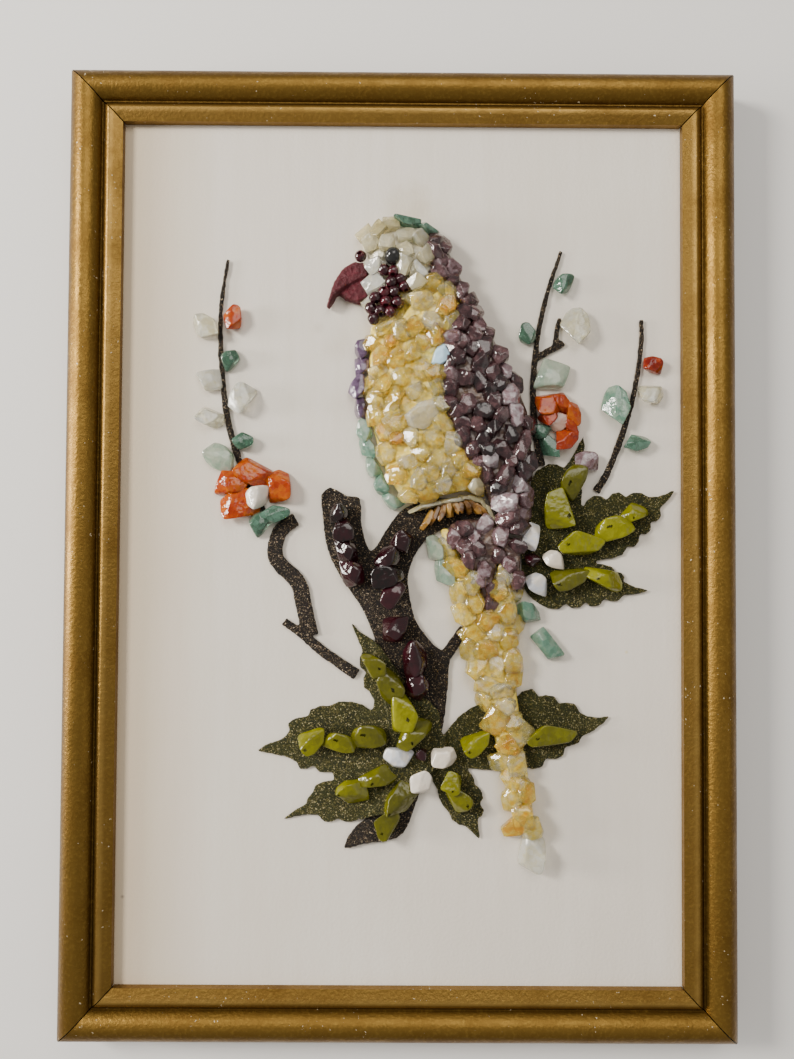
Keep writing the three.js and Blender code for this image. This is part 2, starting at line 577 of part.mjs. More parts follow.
// A mosaic: an outline split into chips, each with a flat, slightly tilted top above the joints
function mosaic(drawn, surface, spacing, seed, inset = 0) {
  const random = seeded(seed);
  const places = spread(drawn, spacing, random);
  const region = offset(outline(drawn), -inset);
  const joints = [];
  const jointAt = (point) => {
    const known = joints.findIndex((joint) => joint.distanceTo(point) < shortestSide * plan);
    if (known >= 0) return known;
    joints.push(point.clone());
    return joints.length - 1;
  };
  const cells = places.map((place) => {
    const cell = places.reduce(
      (part, other) => (other === place ? part : nearer(part, place, other)), region,
    );
    const ids = cell.map(jointAt);
    return ids.filter((id, i) => id !== ids[(i + 1) % ids.length]);
  }).filter((ids) => ids.length > 2);

  const vertices = joints.map((joint) => [joint.x, joint.y, surface(joint)]);
  const triangles = [];
  const sides = new Map();
  for (const ids of cells) {
    const corners = ids.map((id) => joints[id]);
    const centre = corners.reduce((sum, corner) => sum.add(corner), new THREE.Vector2())
      .divideScalar(corners.length);
    const height = surface(centre) + chipRise * (chipLowest + chipSpread * random());
    const slope = ['x', 'y'].map((axis) => {
      const step = new THREE.Vector2();
      step[axis] = spacing * plan / 4;
      const rise = surface(centre.clone().add(step)) - surface(centre.clone().sub(step));
      return rise / (spacing * plan / 2) + chipTilt * (random() - 0.5);
    });
    const first = vertices.length;
    for (const corner of corners) {
      const at = corner.clone().sub(centre).multiplyScalar(chipFlat);
      const top = Math.max(height + at.x * slope[0] + at.y * slope[1], gap + 1);
      vertices.push([centre.x + at.x, centre.y + at.y, top]);
    }
    ids.forEach((id, i) => {
      const next = ids[(i + 1) % ids.length];
      const [inner, innerNext] = [first + i, first + ((i + 1) % ids.length)];
      triangles.push([id, next, innerNext], [id, innerNext, inner]);
      sides.set(`${id},${next}`, [id, next]);
    });
    for (const face of THREE.ShapeUtils.triangulateShape(corners, [])) {
      triangles.push(face.map((i) => first + i));
    }
  }

  // The rim is made of the sides that no second chip shares
  const rim = new Map([...sides.values()].filter(([a, b]) => !sides.has(`${b},${a}`)));
  const loop = [rim.keys().next().value];
  while (loop.length < rim.size) loop.push(rim.get(loop[loop.length - 1]));
  const foot = vertices.length;
  loop.forEach((id) => vertices.push([joints[id].x, joints[id].y, gap]));
  loop.forEach((id, i) => {
    const turn = (i + 1) % loop.length;
    triangles.push([foot + i, foot + turn, loop[turn]], [foot + i, loop[turn], id]);
  });
  for (const face of THREE.ShapeUtils.triangulateShape(loop.map((id) => joints[id]), [])) {
    triangles.push(face.map((i) => foot + i).reverse());
  }

  return solid(indexed(vertices, triangles));
}

// The moulding's section: distance in from the outer edge, then depth from the wall
function railProfile() {
  const cushionWidth = railWidth - bevelWidth - filletWidth - grooveWidth;
  const crownInset = 0.56 * cushionWidth;
  const sideDepth = frameDepth - cushionRise;
  const cushionSteps = 9;
  const lastAngle = Math.acos(cushionWidth / crownInset - 1);
  const profile = [[0, 0]];
  for (let step = 0; step <= cushionSteps; step++) {
    const angle = THREE.MathUtils.lerp(Math.PI, lastAngle, step / cushionSteps);
    profile.push([crownInset * (1 + Math.cos(angle)), sideDepth + cushionRise * Math.sin(angle)]);
  }
  const grooveDepth = profile[profile.length - 1][1] - grooveCut;
  const ridge = railWidth - bevelWidth;
  profile.push(
    [cushionWidth + grooveWidth / 2, grooveDepth],
    [cushionWidth + grooveWidth, grooveDepth],
    [ridge - ridgeFlat - filletWidth / 3, frameDepth - ridgeDrop - 0.3],
    [ridge - ridgeFlat, frameDepth - ridgeDrop],
    [ridge, frameDepth - ridgeDrop],
    [railWidth, lipDepth],
    [railWidth, rebateDepth],
    [backStrip, rebateDepth],
    [backStrip, 0],
  );
  return new THREE.Shape(profile.map(([x, y]) => new THREE.Vector2(x, y)));
}

// A rail with mitred ends, its outer edge along x and its face towards -y
function rail(length) {
  const geometry = new THREE.ExtrudeGeometry(railProfile(), { depth: 1, bevelEnabled: false });
  const position = geometry.getAttribute('position');
  for (let i = 0; i < position.count; i++) {
    const inset = position.getX(i);
    const reach = length / 2 - mitreGap * Math.SQRT1_2 - inset;
    position.setXYZ(i, (position.getZ(i) - 0.5) * 2 * reach, -position.getY(i), -inset);
  }
  return faceOutwards(weld(geometry));
}

function named(name, geometry, finishName) {
  const mesh = new THREE.Mesh(geometry, finish(finishName));
  mesh.name = name;
  return mesh;
}

function buildFrame() {
  const frame = new THREE.Group();
  const sides = [
    ['rail_top', outerWidth, 0, 0, outerHeight / 2],
    ['rail_right', outerHeight, 90, outerWidth / 2, 0],
    ['rail_bottom', outerWidth, 180, 0, -outerHeight / 2],
    ['rail_left', outerHeight, 270, -outerWidth / 2, 0],
  ];
  for (const [name, length, turn, x, z] of sides) {
    const mesh = named(name, rail(length), 'gilt');
    mesh.rotation.y = THREE.MathUtils.degToRad(turn);
    mesh.position.set(x, 0, z);
    frame.add(mesh);
  }
  const inset = 2 * (rebateWidth - boardClearance);
  const board = named('board', weld(
    new THREE.BoxGeometry(sightWidth + inset, boardThickness, sightHeight + inset),
  ), 'card');
  board.position.y = -boardFace + boardThickness / 2;
  frame.add(board);
  return frame;
}

// Flocked sheets, each with the space that pieces laid over it keep clear
function buildSheets() {
  const branch = outline(smooth(branchOutline, true, 2));
  const branchClear = prism(offset(branch, gap), 0, branchTop + gap);
  const drape = leaf(lowerLeafEdge, 0, gap, drapedTop)
    .intersect(prism(offset(branch, gap + leafThickness), 0, drapedTop));
  const lowerLeaf = cut(leaf(lowerLeafEdge, 0, gap, leafTop).add(drape), [branchClear]);
  const drapeClear = leaf(lowerLeafEdge, gap, 0, drapedTop + gap)
    .intersect(prism(offset(branch, 2 * gap + leafThickness), 0, drapedTop + gap));
  const strips = {
    left_twig: [[twig, 5, 5.8], [twigSide, 2.8, 4]],
    left_stem: [[leftStem, 1.3, 2.8]],
    centre_stem: [[centreStem, 1.4, 2.8], [centreFork, 2.4, 2.2], [centreTwig, 2.2, 1.4]],
    right_stem: [[rightStem, 1.4, 2.8]],
  };
  const stems = Object.fromEntries(Object.entries(strips).map(([name, lines]) => [
    name,
    joined(lines.map(([line, start, end]) => (
      prism(strip(line, start, end), gap, gap + stemThickness)
    ))),
  ]));
  const stemsClear = joined(Object.values(strips).flat().map(([line, start, end]) => (
    prism(strip(line, start, end, gap), 0, 2 * gap + stemThickness)
  )));
  return {
    solids: { branch: prism(branch, gap, branchTop), lower_leaf: lowerLeaf, ...stems },
    branchClear,
    lowerLeafClear: leaf(lowerLeafEdge, gap, 0, leafTop + gap).add(drapeClear),
    upperLeafClear: leaf(upperLeafEdge, gap, 0, leafTop + gap),
    stemsClear,
  };
}

function birdOutlines() {
  const all = [
    ...crown, nape, ...back, rump, ...vent, belly, ...lap, ...chest, throat, ...face,
  ];
  return {
    bird: all,
    head: [...crown, nape, ...headSide, collar, ...jaw.toReversed(), throat, ...face],
    breast: [throat, ...jaw, collar, ...wingFront, belly, ...lap, ...chest],
    wing: [
      nape, ...back, rump, ...vent, belly, ...wingFront.toReversed(), collar, ...headSide.toReversed(),
    ],
  };
}

const sheets = buildSheets();
const bird = birdOutlines();
const birdPlan = outline(bird.bird);
const birdSurface = padding(birdPlan, birdEdge, birdRise, birdRun);
const birdClear = prism(offset(birdPlan, gap), 0, cutHeight);
const eyeHeight = birdSurface(new THREE.Vector2(...eyePlace).multiplyScalar(plan)) + eyeLift;

function buildBird() {
  const half = gap / 2;
  const perched = [sheets.branchClear];
  const eyeSocket = bead(eyeDiameter, 1, ...eyePlace, eyeHeight, gap);
  const nostrilSocket = bead(nostrilDiameter, 1, ...nostrilPlace, nostrilHeight, gap);
  const cheekPocket = prism(outline(cheek), cheekHeight, cutHeight);
  const crownClear = joined(crownSlivers.map((spec) => stone(spec, 0, gap)));
  const head = mosaic(bird.head, birdSurface, quartzChip, 5, half);
  const breast = mosaic(bird.breast, birdSurface, citrineChip, 8, half);
  const wing = mosaic(bird.wing, birdSurface, amethystChip, 3, half);
  const beak = pad(outline(beakUpper), beakHeight, beakRound)
    .add(pad(outline(beakLower), lowerBeakHeight, lowerBeakRound));
  const cheeks = joined(cheekBeads.map(([x, y]) => (
    bead(cheekDiameter, 0, x, y, cheekHeight + gap + cheekDiameter / 2 * plan)
  )));
  const faceClear = prism(offset(outline(bird.head), half), 0, cutHeight);
  return {
    parrot_head: [cut(head, [cheekPocket, eyeSocket, nostrilSocket, crownClear]), 'quartz'],
    parrot_breast: [cut(breast, [...perched, cheekPocket]), 'citrine'],
    parrot_wing: [cut(wing, [...perched, crownClear]), 'amethyst'],
    parrot_beak: [cut(beak, [faceClear, nostrilSocket, cheekPocket]), 'beak'],
    parrot_eye: [bead(eyeDiameter, 1, ...eyePlace, eyeHeight), 'hematite'],
    parrot_nostril: [bead(nostrilDiameter, 1, ...nostrilPlace, nostrilHeight), 'garnet'],
    parrot_cheek_beads: [cheeks, 'garnet'],
    parrot_crown_slivers: [stones(crownSlivers, 0), 'aventurine'],
    parrot_chest_row: [stones(chestRow, 0, [birdClear]), 'amethyst'],
    parrot_belly_row: [stones(bellyRow, 0, [birdClear]), 'aventurine'],
    parrot_claws: [stones(claws, branchTop, [birdClear]), 'claw'],
  };
}

function buildTail() {
  const featherLines = [leftFeather, rightFeather];
  const featherSurface = padding(outline(leftFeather), featherEdge, featherRise, tailRun);
  const featherClear = featherLines.map((line) => prism(offset(outline(line), gap), 0, cutHeight));
  const feathers = joined(featherLines.map((line) => mosaic(line, featherSurface, featherChip, 9)));
  const tailPlan = outline(tail);
  const tailBody = mosaic(tail, padding(tailPlan, tailEdge, tailRise, tailRun), citrineChip, 6);
  const tailClear = prism(offset(tailPlan, gap), 0, cutHeight);
  const laidOver = [...featherClear, birdClear, sheets.branchClear, sheets.lowerLeafClear];
  return {
    tail: [cut(tailBody, laidOver), 'citrine'],
    undertail_feathers: [cut(feathers, [birdClear, sheets.branchClear]), 'amethyst'],
    tail_tip_crystal: [stones([tailTip], 0, [tailClear]), 'quartz'],
    tail_left_chips: [stones(tailLeft, 0, [tailClear, sheets.branchClear]), 'aventurine'],
    tail_right_upper_chip: [stones([tailRightUpper], 0, [tailClear]), 'aventurine'],
    tail_right_lower_chip: [stones([tailRightLower], 0), 'aventurine'],
  };
}

function buildFlowers() {
  const heartClear = stone(leftHeart, 0, gap);
  const petalsClear = leftPetals.map((spec) => stone(spec, 0, gap));
  const centreClear = centrePetals.map((spec) => stone(spec, 0, gap));
  const laidOver = [sheets.stemsClear, heartClear, ...petalsClear];
  return {
    left_flower_petals: [stones(leftPetals, 0, [heartClear, sheets.stemsClear]), 'carnelian'],
    left_flower_heart: [stones([leftHeart], 0, [sheets.stemsClear]), 'howlite'],
    left_flower_sepals: [stones(leftSepals, 0, laidOver), 'aventurine'],
    centre_flower_petals: [stones(centrePetals, 0, [sheets.stemsClear]), 'carnelian'],
    centre_flower_greens: [stones(centreGreens, 0, [sheets.stemsClear, ...centreClear]), 'aventurine'],
  };
}

function buildLeafStones() {
  const laid = [sheets.lowerLeafClear, sheets.upperLeafClear, sheets.branchClear, sheets.stemsClear];
  const parts = {};
  jadeUpper.forEach((group, i) => {
    parts[`upper_leaf_jade_${i + 1}`] = [stones(group, leafTop, laid), 'jade'];
  });
  jadeLower.forEach((group, i) => {
    const lift = i === 0 ? drapedTop : leafTop;
    parts[`lower_leaf_jade_${i + 1}`] = [stones(group, lift, laid), 'jade'];
  });
  garnets.forEach((group, i) => {
    parts[`branch_garnets_${i + 1}`] = [stones(group, branchTop, laid), 'garnet'];
  });
  for (const [name, spec] of Object.entries(whites)) {
    parts[name] = [stones([spec], leafTop, laid), 'howlite'];
  }
  for (const [name, spec] of Object.entries(stemChips)) {
    const finishName = name.includes('green') ? 'aventurine' : 'quartz';
    parts[name] = [stones([spec], 0, [sheets.stemsClear]), finishName];
  }
  return parts;
}

function buildPicture() {
  const picture = new THREE.Group();
  const upperLeaf = cut(leaf(upperLeafEdge, 0, gap, leafTop), [birdClear, sheets.stemsClear]);
  const flocked = Object.entries(sheets.solids).map(([name, body]) => [name, [body, 'branch']]);
  const parts = {
    ...Object.fromEntries(flocked),
    lower_leaf: [sheets.solids.lower_leaf, 'leaf'],
    upper_leaf: [upperLeaf, 'leaf'],
    ...buildBird(),
    ...buildTail(),
    ...buildFlowers(),
    ...buildLeafStones(),
  };
  for (const [name, [body, finishName]] of Object.entries(parts)) {
    picture.add(named(name, geometryOf(body), finishName));
  }
  picture.rotation.x = Math.PI / 2;
  picture.position.y = -boardFace;
  return picture;
}

const panel = new THREE.Group();
panel.name = 'mosaic_panel';
const framed = new THREE.Group();
framed.add(buildFrame(), buildPicture());
framed.position.z = backStrip / 2 - outerHeight / 2;
panel.add(framed);

export default panel;
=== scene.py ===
import math
import random

import bpy
from mathutils import Matrix, Vector
from mathutils.bvhtree import BVHTree


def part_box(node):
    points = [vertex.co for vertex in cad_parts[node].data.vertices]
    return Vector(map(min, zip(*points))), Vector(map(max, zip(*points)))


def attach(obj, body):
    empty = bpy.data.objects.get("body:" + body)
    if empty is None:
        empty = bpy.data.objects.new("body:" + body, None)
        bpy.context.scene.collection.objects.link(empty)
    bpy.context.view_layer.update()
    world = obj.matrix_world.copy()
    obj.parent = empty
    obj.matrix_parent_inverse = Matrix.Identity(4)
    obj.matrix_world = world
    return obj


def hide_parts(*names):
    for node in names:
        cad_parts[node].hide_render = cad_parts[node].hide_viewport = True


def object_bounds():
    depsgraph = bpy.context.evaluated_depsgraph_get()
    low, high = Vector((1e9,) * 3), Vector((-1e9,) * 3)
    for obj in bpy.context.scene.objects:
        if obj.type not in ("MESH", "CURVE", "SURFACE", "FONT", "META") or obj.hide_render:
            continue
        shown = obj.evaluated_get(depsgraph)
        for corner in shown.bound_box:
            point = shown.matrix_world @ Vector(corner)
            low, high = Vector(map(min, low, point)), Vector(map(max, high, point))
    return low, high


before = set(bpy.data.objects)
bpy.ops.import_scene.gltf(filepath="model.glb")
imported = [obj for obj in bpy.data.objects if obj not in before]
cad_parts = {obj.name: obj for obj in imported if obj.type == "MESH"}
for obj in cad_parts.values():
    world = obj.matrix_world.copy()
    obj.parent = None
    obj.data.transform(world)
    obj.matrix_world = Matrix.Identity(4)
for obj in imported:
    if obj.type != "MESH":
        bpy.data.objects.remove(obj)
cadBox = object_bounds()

# A framed wall picture: a parrot on a branch, laid in tumbled gemstone chips on a cream board.
# Places on the picture are in millimetres from its middle, and heights are above the board.
picture = {"face": 11.2, "middle": -158.5, "lift": 0.3}


def onBoard(x, y, rise=0.0):
    return Vector((x / 1000, -(picture["face"] + rise) / 1000, (y + picture["middle"]) / 1000))


standUp = Matrix.Rotation(math.radians(90), 4, "X")  # turns a stone's height out of the board
weldGap = 0.00001  # metres


def clearSelection():
    bpy.ops.object.select_all(action="DESELECT")


def nameActive(name):
    piece = bpy.context.object
    piece.name = name
    piece.data.name = name
    return piece


def activate(piece):
    clearSelection()
    piece.select_set(True)
    bpy.context.view_layer.objects.active = piece


def applyModifier(piece, kind, **settings):
    activate(piece)
    modifier = piece.modifiers.new(kind.lower(), kind)
    for key, value in settings.items():
        setattr(modifier, key, value)
    bpy.ops.object.modifier_apply(modifier=modifier.name)


def openMesh():
    bpy.ops.object.mode_set(mode="EDIT")


def leaveMesh():
    bpy.ops.object.mode_set(mode="OBJECT")


def selectMesh(choice="SELECT"):
    bpy.ops.mesh.select_all(action=choice)


def closeMesh():
    # every face turned outward
    selectMesh()
    bpy.ops.mesh.normals_make_consistent(inside=False)
    leaveMesh()


def pullMesh(x, y, z):
    bpy.ops.mesh.extrude_region_move(TRANSFORM_OT_translate={"value": (x, y, z)})


def editCorners(piece, chosen):
    # edit mode, with only the chosen corners selected
    openMesh()
    selectMesh("DESELECT")
    leaveMesh()
    for corner in piece.data.vertices:
        corner.select = chosen(corner.co)
    openMesh()


def newObject(name, data):
    made = bpy.data.objects.new(name, data)
    bpy.context.scene.collection.objects.link(made)
    return made


def softCopy(node, name, shape):
    # a copy of a modelled solid, in an even mesh with softened edges
    copy = newObject(name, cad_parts[node].data.copy())
    copy.data.name = name
    activate(copy)
    openMesh()
    selectMesh()
    bpy.ops.mesh.remove_doubles(threshold=weldGap)
    leaveMesh()
    applyModifier(copy, "REMESH", mode="VOXEL", voxel_size=shape["grain"])
    applyModifier(copy, "SMOOTH", factor=0.5, iterations=shape["soften"])
    return copy


def joinPieces(pieces, name):
    clearSelection()
    for piece in pieces:
        piece.select_set(True)
    bpy.context.view_layer.objects.active = pieces[0]
    if len(pieces) > 1:
        bpy.ops.object.join()
    return nameActive(name)


def fitPiece(piece, finish, slotName, *nodes):
    piece.data.materials.clear()
    piece.data.materials.append(finish)
    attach(piece, "root")
    if nodes:
        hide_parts(*nodes)


# Camera, at the angle of the photograph
view = {"place": (-0.0022, -0.2839, -0.1577), "pitch": -1.35, "yaw": 0.20, "roll": 0.33, "lens": 27.2}


def makeCamera():
    data = bpy.data.cameras.new("pictureCamera")
    data.lens = view["lens"]
    data.clip_start = 0.01
    camera = newObject("pictureCamera", data)
    turn = (
        Matrix.Rotation(math.radians(view["roll"]), 3, "Y")
        @ Matrix.Rotation(math.radians(view["pitch"]), 3, "X")
        @ Matrix.Rotation(math.radians(view["yaw"]), 3, "Z")
    )
    axes = Matrix((turn[0], turn[2], -turn[1])).transposed()
    camera.matrix_world = Matrix.Translation(view["place"]) @ axes.to_4x4()
    bpy.context.scene.camera = camera


# Studio: a pale wall behind the frame, a soft window from the left and gentle fill
studio = {
    "wallSize": 4.0, "wallGap": 0.0015, "wallColour": (0.93, 0.92, 0.90),
    "airColour": (1.0, 0.95, 0.89), "airStrength": 0.36,
    "lights": [
        ("windowLeft", (-0.95, -0.75, 0.25), 0.3, 15.0, (1.0, 0.95, 0.87)),
        ("windowLow", (-1.20, -0.22, -0.12), 0.3, 15.0, (1.0, 0.95, 0.88)),
        ("ceilingSoft", (0.20, -1.20, 0.60), 0.9, 8.0, (1.0, 0.96, 0.90)),
        ("rightSoft", (1.20, -0.95, -0.35), 0.9, 1.2, (1.0, 0.95, 0.88)),
        ("behindSoft", (0.5, 1.4, 0.5), 1.2, 18.0, (1.0, 0.98, 0.96)),
    ],
}


def makeStudio():
    clearSelection()
    bpy.ops.mesh.primitive_plane_add(
        size=studio["wallSize"], location=(0, studio["wallGap"], picture["middle"] / 1000),
        rotation=(math.radians(90), 0, 0),
    )
    wall = nameActive("paleWall")
    bpy.ops.object.transform_apply(location=True, rotation=True, scale=True)
    wall.visible_shadow = False
    finish, tree, shader = startFinish("paleWall")[:3]
    setInputs(shader, Base_Color=studio["wallColour"], Roughness=0.9)
    mix = tree.nodes.new("ShaderNodeMixShader")  # seen from behind, the wall is clear
    setSocket(mix.inputs[0], tree.nodes.new("ShaderNodeNewGeometry").outputs["Backfacing"])
    setSocket(mix.inputs[1], shader.outputs[0])
    setSocket(mix.inputs[2], tree.nodes.new("ShaderNodeBsdfTransparent").outputs[0])
    setInputs(tree.nodes["Material Output"], Surface=mix.outputs[0])
    wall.data.materials.append(finish)
    target = Vector((0, 0, picture["middle"] / 1000))
    for name, place, size, power, colour in studio["lights"]:
        data = bpy.data.lights.new(name, "AREA")
        data.size = size
        data.energy = power
        data.color = colour
        lamp = newObject(name, data)
        lamp.location = place
        lamp.rotation_euler = (target - Vector(place)).to_track_quat("-Z", "Y").to_euler()
    world = bpy.data.worlds.new("studioAir")
    world.use_nodes = True
    setInputs(world.node_tree.nodes["Background"], Color=studio["airColour"], Strength=studio["airStrength"])
    bpy.context.scene.world = world


def setSocket(socket, value):
    # another socket is linked to it; a number or a colour is set
    if isinstance(value, bpy.types.NodeSocket):
        socket.id_data.links.new(value, socket)
    elif socket.type == "RGBA":
        socket.default_value = (*value, 1)
    else:
        socket.default_value = value


def setInputs(node, **values):
    for label, value in values.items():
        setSocket(node.inputs[label.replace("_", " ")], value)


def addNode(tree, kind, **values):
    node = tree.nodes.new("ShaderNode" + kind)
    setInputs(node, **values)
    return node


# Node groups that several finishes share; all sockets but the vector are numbers
def startGroup(name, inputs, outputs):
    group = bpy.data.node_groups.new(name, "ShaderNodeTree")
    group.interface.new_socket(name="Vector", in_out="INPUT", socket_type="NodeSocketVector")
    for label, value in inputs.items():
        socket = group.interface.new_socket(name=label, in_out="INPUT", socket_type="NodeSocketFloat")
        socket.default_value = value
    for label in outputs:
        group.interface.new_socket(name=label, in_out="OUTPUT", socket_type="NodeSocketFloat")
    return group, group.nodes.new("NodeGroupInput").outputs, group.nodes.new("NodeGroupOutput")


def addMath(tree, operation, first, second, clamp=False):
    node = tree.nodes.new("ShaderNodeMath")
    node.operation = operation
    node.use_clamp = clamp
    setSocket(node.inputs[0], first)
    setSocket(node.inputs[1], second)
    return node.outputs[0]


def addNoise(tree, vector, scale, detail=2.0, roughness=0.5):
    node = addNode(tree, "TexNoise", Vector=vector, Scale=scale, Detail=detail, Roughness=roughness)
    return node.outputs["Fac"]


def addCells(tree, vector, scale):
    # how far the middle of the cell is, and three random numbers that each cell has
    cells = addNode(tree, "TexVoronoi", Vector=vector, Scale=scale)
    return cells.outputs["Distance"], addNode(tree, "SeparateColor", Color=cells.outputs["Color"]).outputs


def addRange(tree, value, low, high, toLow=0.0, toHigh=1.0):
    node = addNode(tree, "MapRange", Value=value, From_Min=low, From_Max=high, To_Min=toLow, To_Max=toHigh)
    return node.outputs["Result"]


def addRamp(tree, value, stops):
    node = tree.nodes.new("ShaderNodeValToRGB")
    ramp = node.color_ramp
    while len(ramp.elements) < len(stops):
        ramp.elements.new(0.5)
    for element, (position, colour) in zip(ramp.elements, stops):
        element.position = position
        element.color = (*colour, 1)
    setInputs(node, Fac=value)
    return node.outputs["Color"]


def addMix(tree, amount, first, second):
    node = tree.nodes.new("ShaderNodeMix")
    node.data_type = "RGBA"
    setInputs(node, Factor=amount)
    setSocket(node.inputs[6], first)
    setSocket(node.inputs[7], second)
    return node.outputs[2]


def makeCloudGroup():
    # cloudy veins and crack planes inside a stone, and the slight waves of its polished skin
    inputs = {"Tone": 0.5, "Cloud": 0.3, "Scale": 260.0}
    group, start, end = startGroup("stoneCloud", inputs, ("Shade", "Height"))
    clouds = addNoise(group, start["Vector"], start["Scale"], 4.0, 0.6)
    distance, cell = addCells(group, start["Vector"], 620.0)
    planes = addMath(group, "MULTIPLY", addMath(group, "SUBTRACT", cell["Red"], 0.5), 0.28)
    mottle = addMath(group, "ADD", addMath(group, "SUBTRACT", clouds, 0.5), planes)
    spread = addMath(group, "MULTIPLY", addMath(group, "MULTIPLY", mottle, start["Cloud"]), 2.0)
    waves = addNoise(group, start["Vector"], 420.0)
    setInputs(end, Shade=addMath(group, "ADD", start["Tone"], spread, clamp=True),
              Height=addMath(group, "ADD", waves, addMath(group, "MULTIPLY", distance, 0.35)))
    return group


def makeGlitterGroup():
    # flock grains with bright flecks scattered through them
    inputs = {"Grains": 1900.0, "Share": 0.1}
    group, start, end = startGroup("glitterFlock", inputs, ("Fleck", "Pick", "Height"))
    distance, cell = addCells(group, start["Vector"], start["Grains"])
    setInputs(end, Fleck=addMath(group, "LESS_THAN", cell["Red"], start["Share"]), Pick=cell["Green"],
              Height=addMath(group, "SUBTRACT", cell["Blue"], distance))
    return group


def makeWearGroup():
    # streaks, dark blotches and small chips in old paint
    group, start, end = startGroup("oldPaint", {"Chips": 0.72}, ("Streak", "Blotch", "Chip", "Height"))
    streak = addNoise(group, start["Vector"], 900.0, 3.0, 0.6)
    blotch = addNoise(group, start["Vector"], 60.0, 4.0, 0.6)
    small = addNoise(group, start["Vector"], 1100.0)
    wide = addMath(group, "MULTIPLY", addNoise(group, start["Vector"], 90.0), 0.3)
    limit = addMath(group, "ADD", start["Chips"], 0.15)
    setInputs(end, Streak=streak, Blotch=blotch, Height=addMath(group, "ADD", streak, blotch),
              Chip=addMath(group, "GREATER_THAN", addMath(group, "ADD", small, wide), limit))
    return group


shared = {"cloud": makeCloudGroup(), "glitter": makeGlitterGroup(), "wear": makeWearGroup()}


def startFinish(name):
    finish = bpy.data.materials.new(name)
    finish.use_nodes = True
    tree = finish.node_tree
    place = tree.nodes.new("ShaderNodeTexCoord").outputs["Object"]
    return finish, tree, tree.nodes["Principled BSDF"], place


def addGroup(tree, group, vector, **values):
    node = tree.nodes.new("ShaderNodeGroup")
    node.node_tree = group
    setInputs(node, Vector=vector, **values)
    return node.outputs


def addBump(tree, shader, height, distance, strength=1.0):
    bump = addNode(tree, "Bump", Distance=distance, Strength=strength, Height=height)
    setInputs(shader, Normal=bump.outputs["Normal"])


def readTone(tree, name="tone"):
    node = tree.nodes.new("ShaderNodeAttribute")
    node.attribute_name = name
    return node.outputs["Fac"]


def makeStoneFinish(name, look):
    finish, tree, shader, place = startFinish(name)
    tone = readTone(tree)
    cloud = addGroup(tree, shared["cloud"], place, Tone=tone, Cloud=look["cloud"], Scale=look["scale"])
    shade = addRamp(tree, cloud["Shade"], look["shades"])
    # painted sheen: the colour pales toward the sheen colour where the surface turns away from the view
    facing = addNode(tree, "LayerWeight", Blend=0.35).outputs["Facing"]
    rim = addMath(tree, "MULTIPLY", facing, look["rim"])
    setInputs(
        shader, Base_Color=addMix(tree, rim, shade, look["paintedSheenColour"]),
        Roughness=addRange(tree, cloud["Height"], 0.3, 0.7, look["gloss"], look["gloss"] + 0.08),
        Transmission_Weight=look.get("clear", 0.0), IOR=1.54,
        Coat_Weight=look.get("coat", 0.4), Coat_Roughness=0.03,
    )
    addBump(tree, shader, cloud["Height"], 0.0005, 0.6)
    return finish


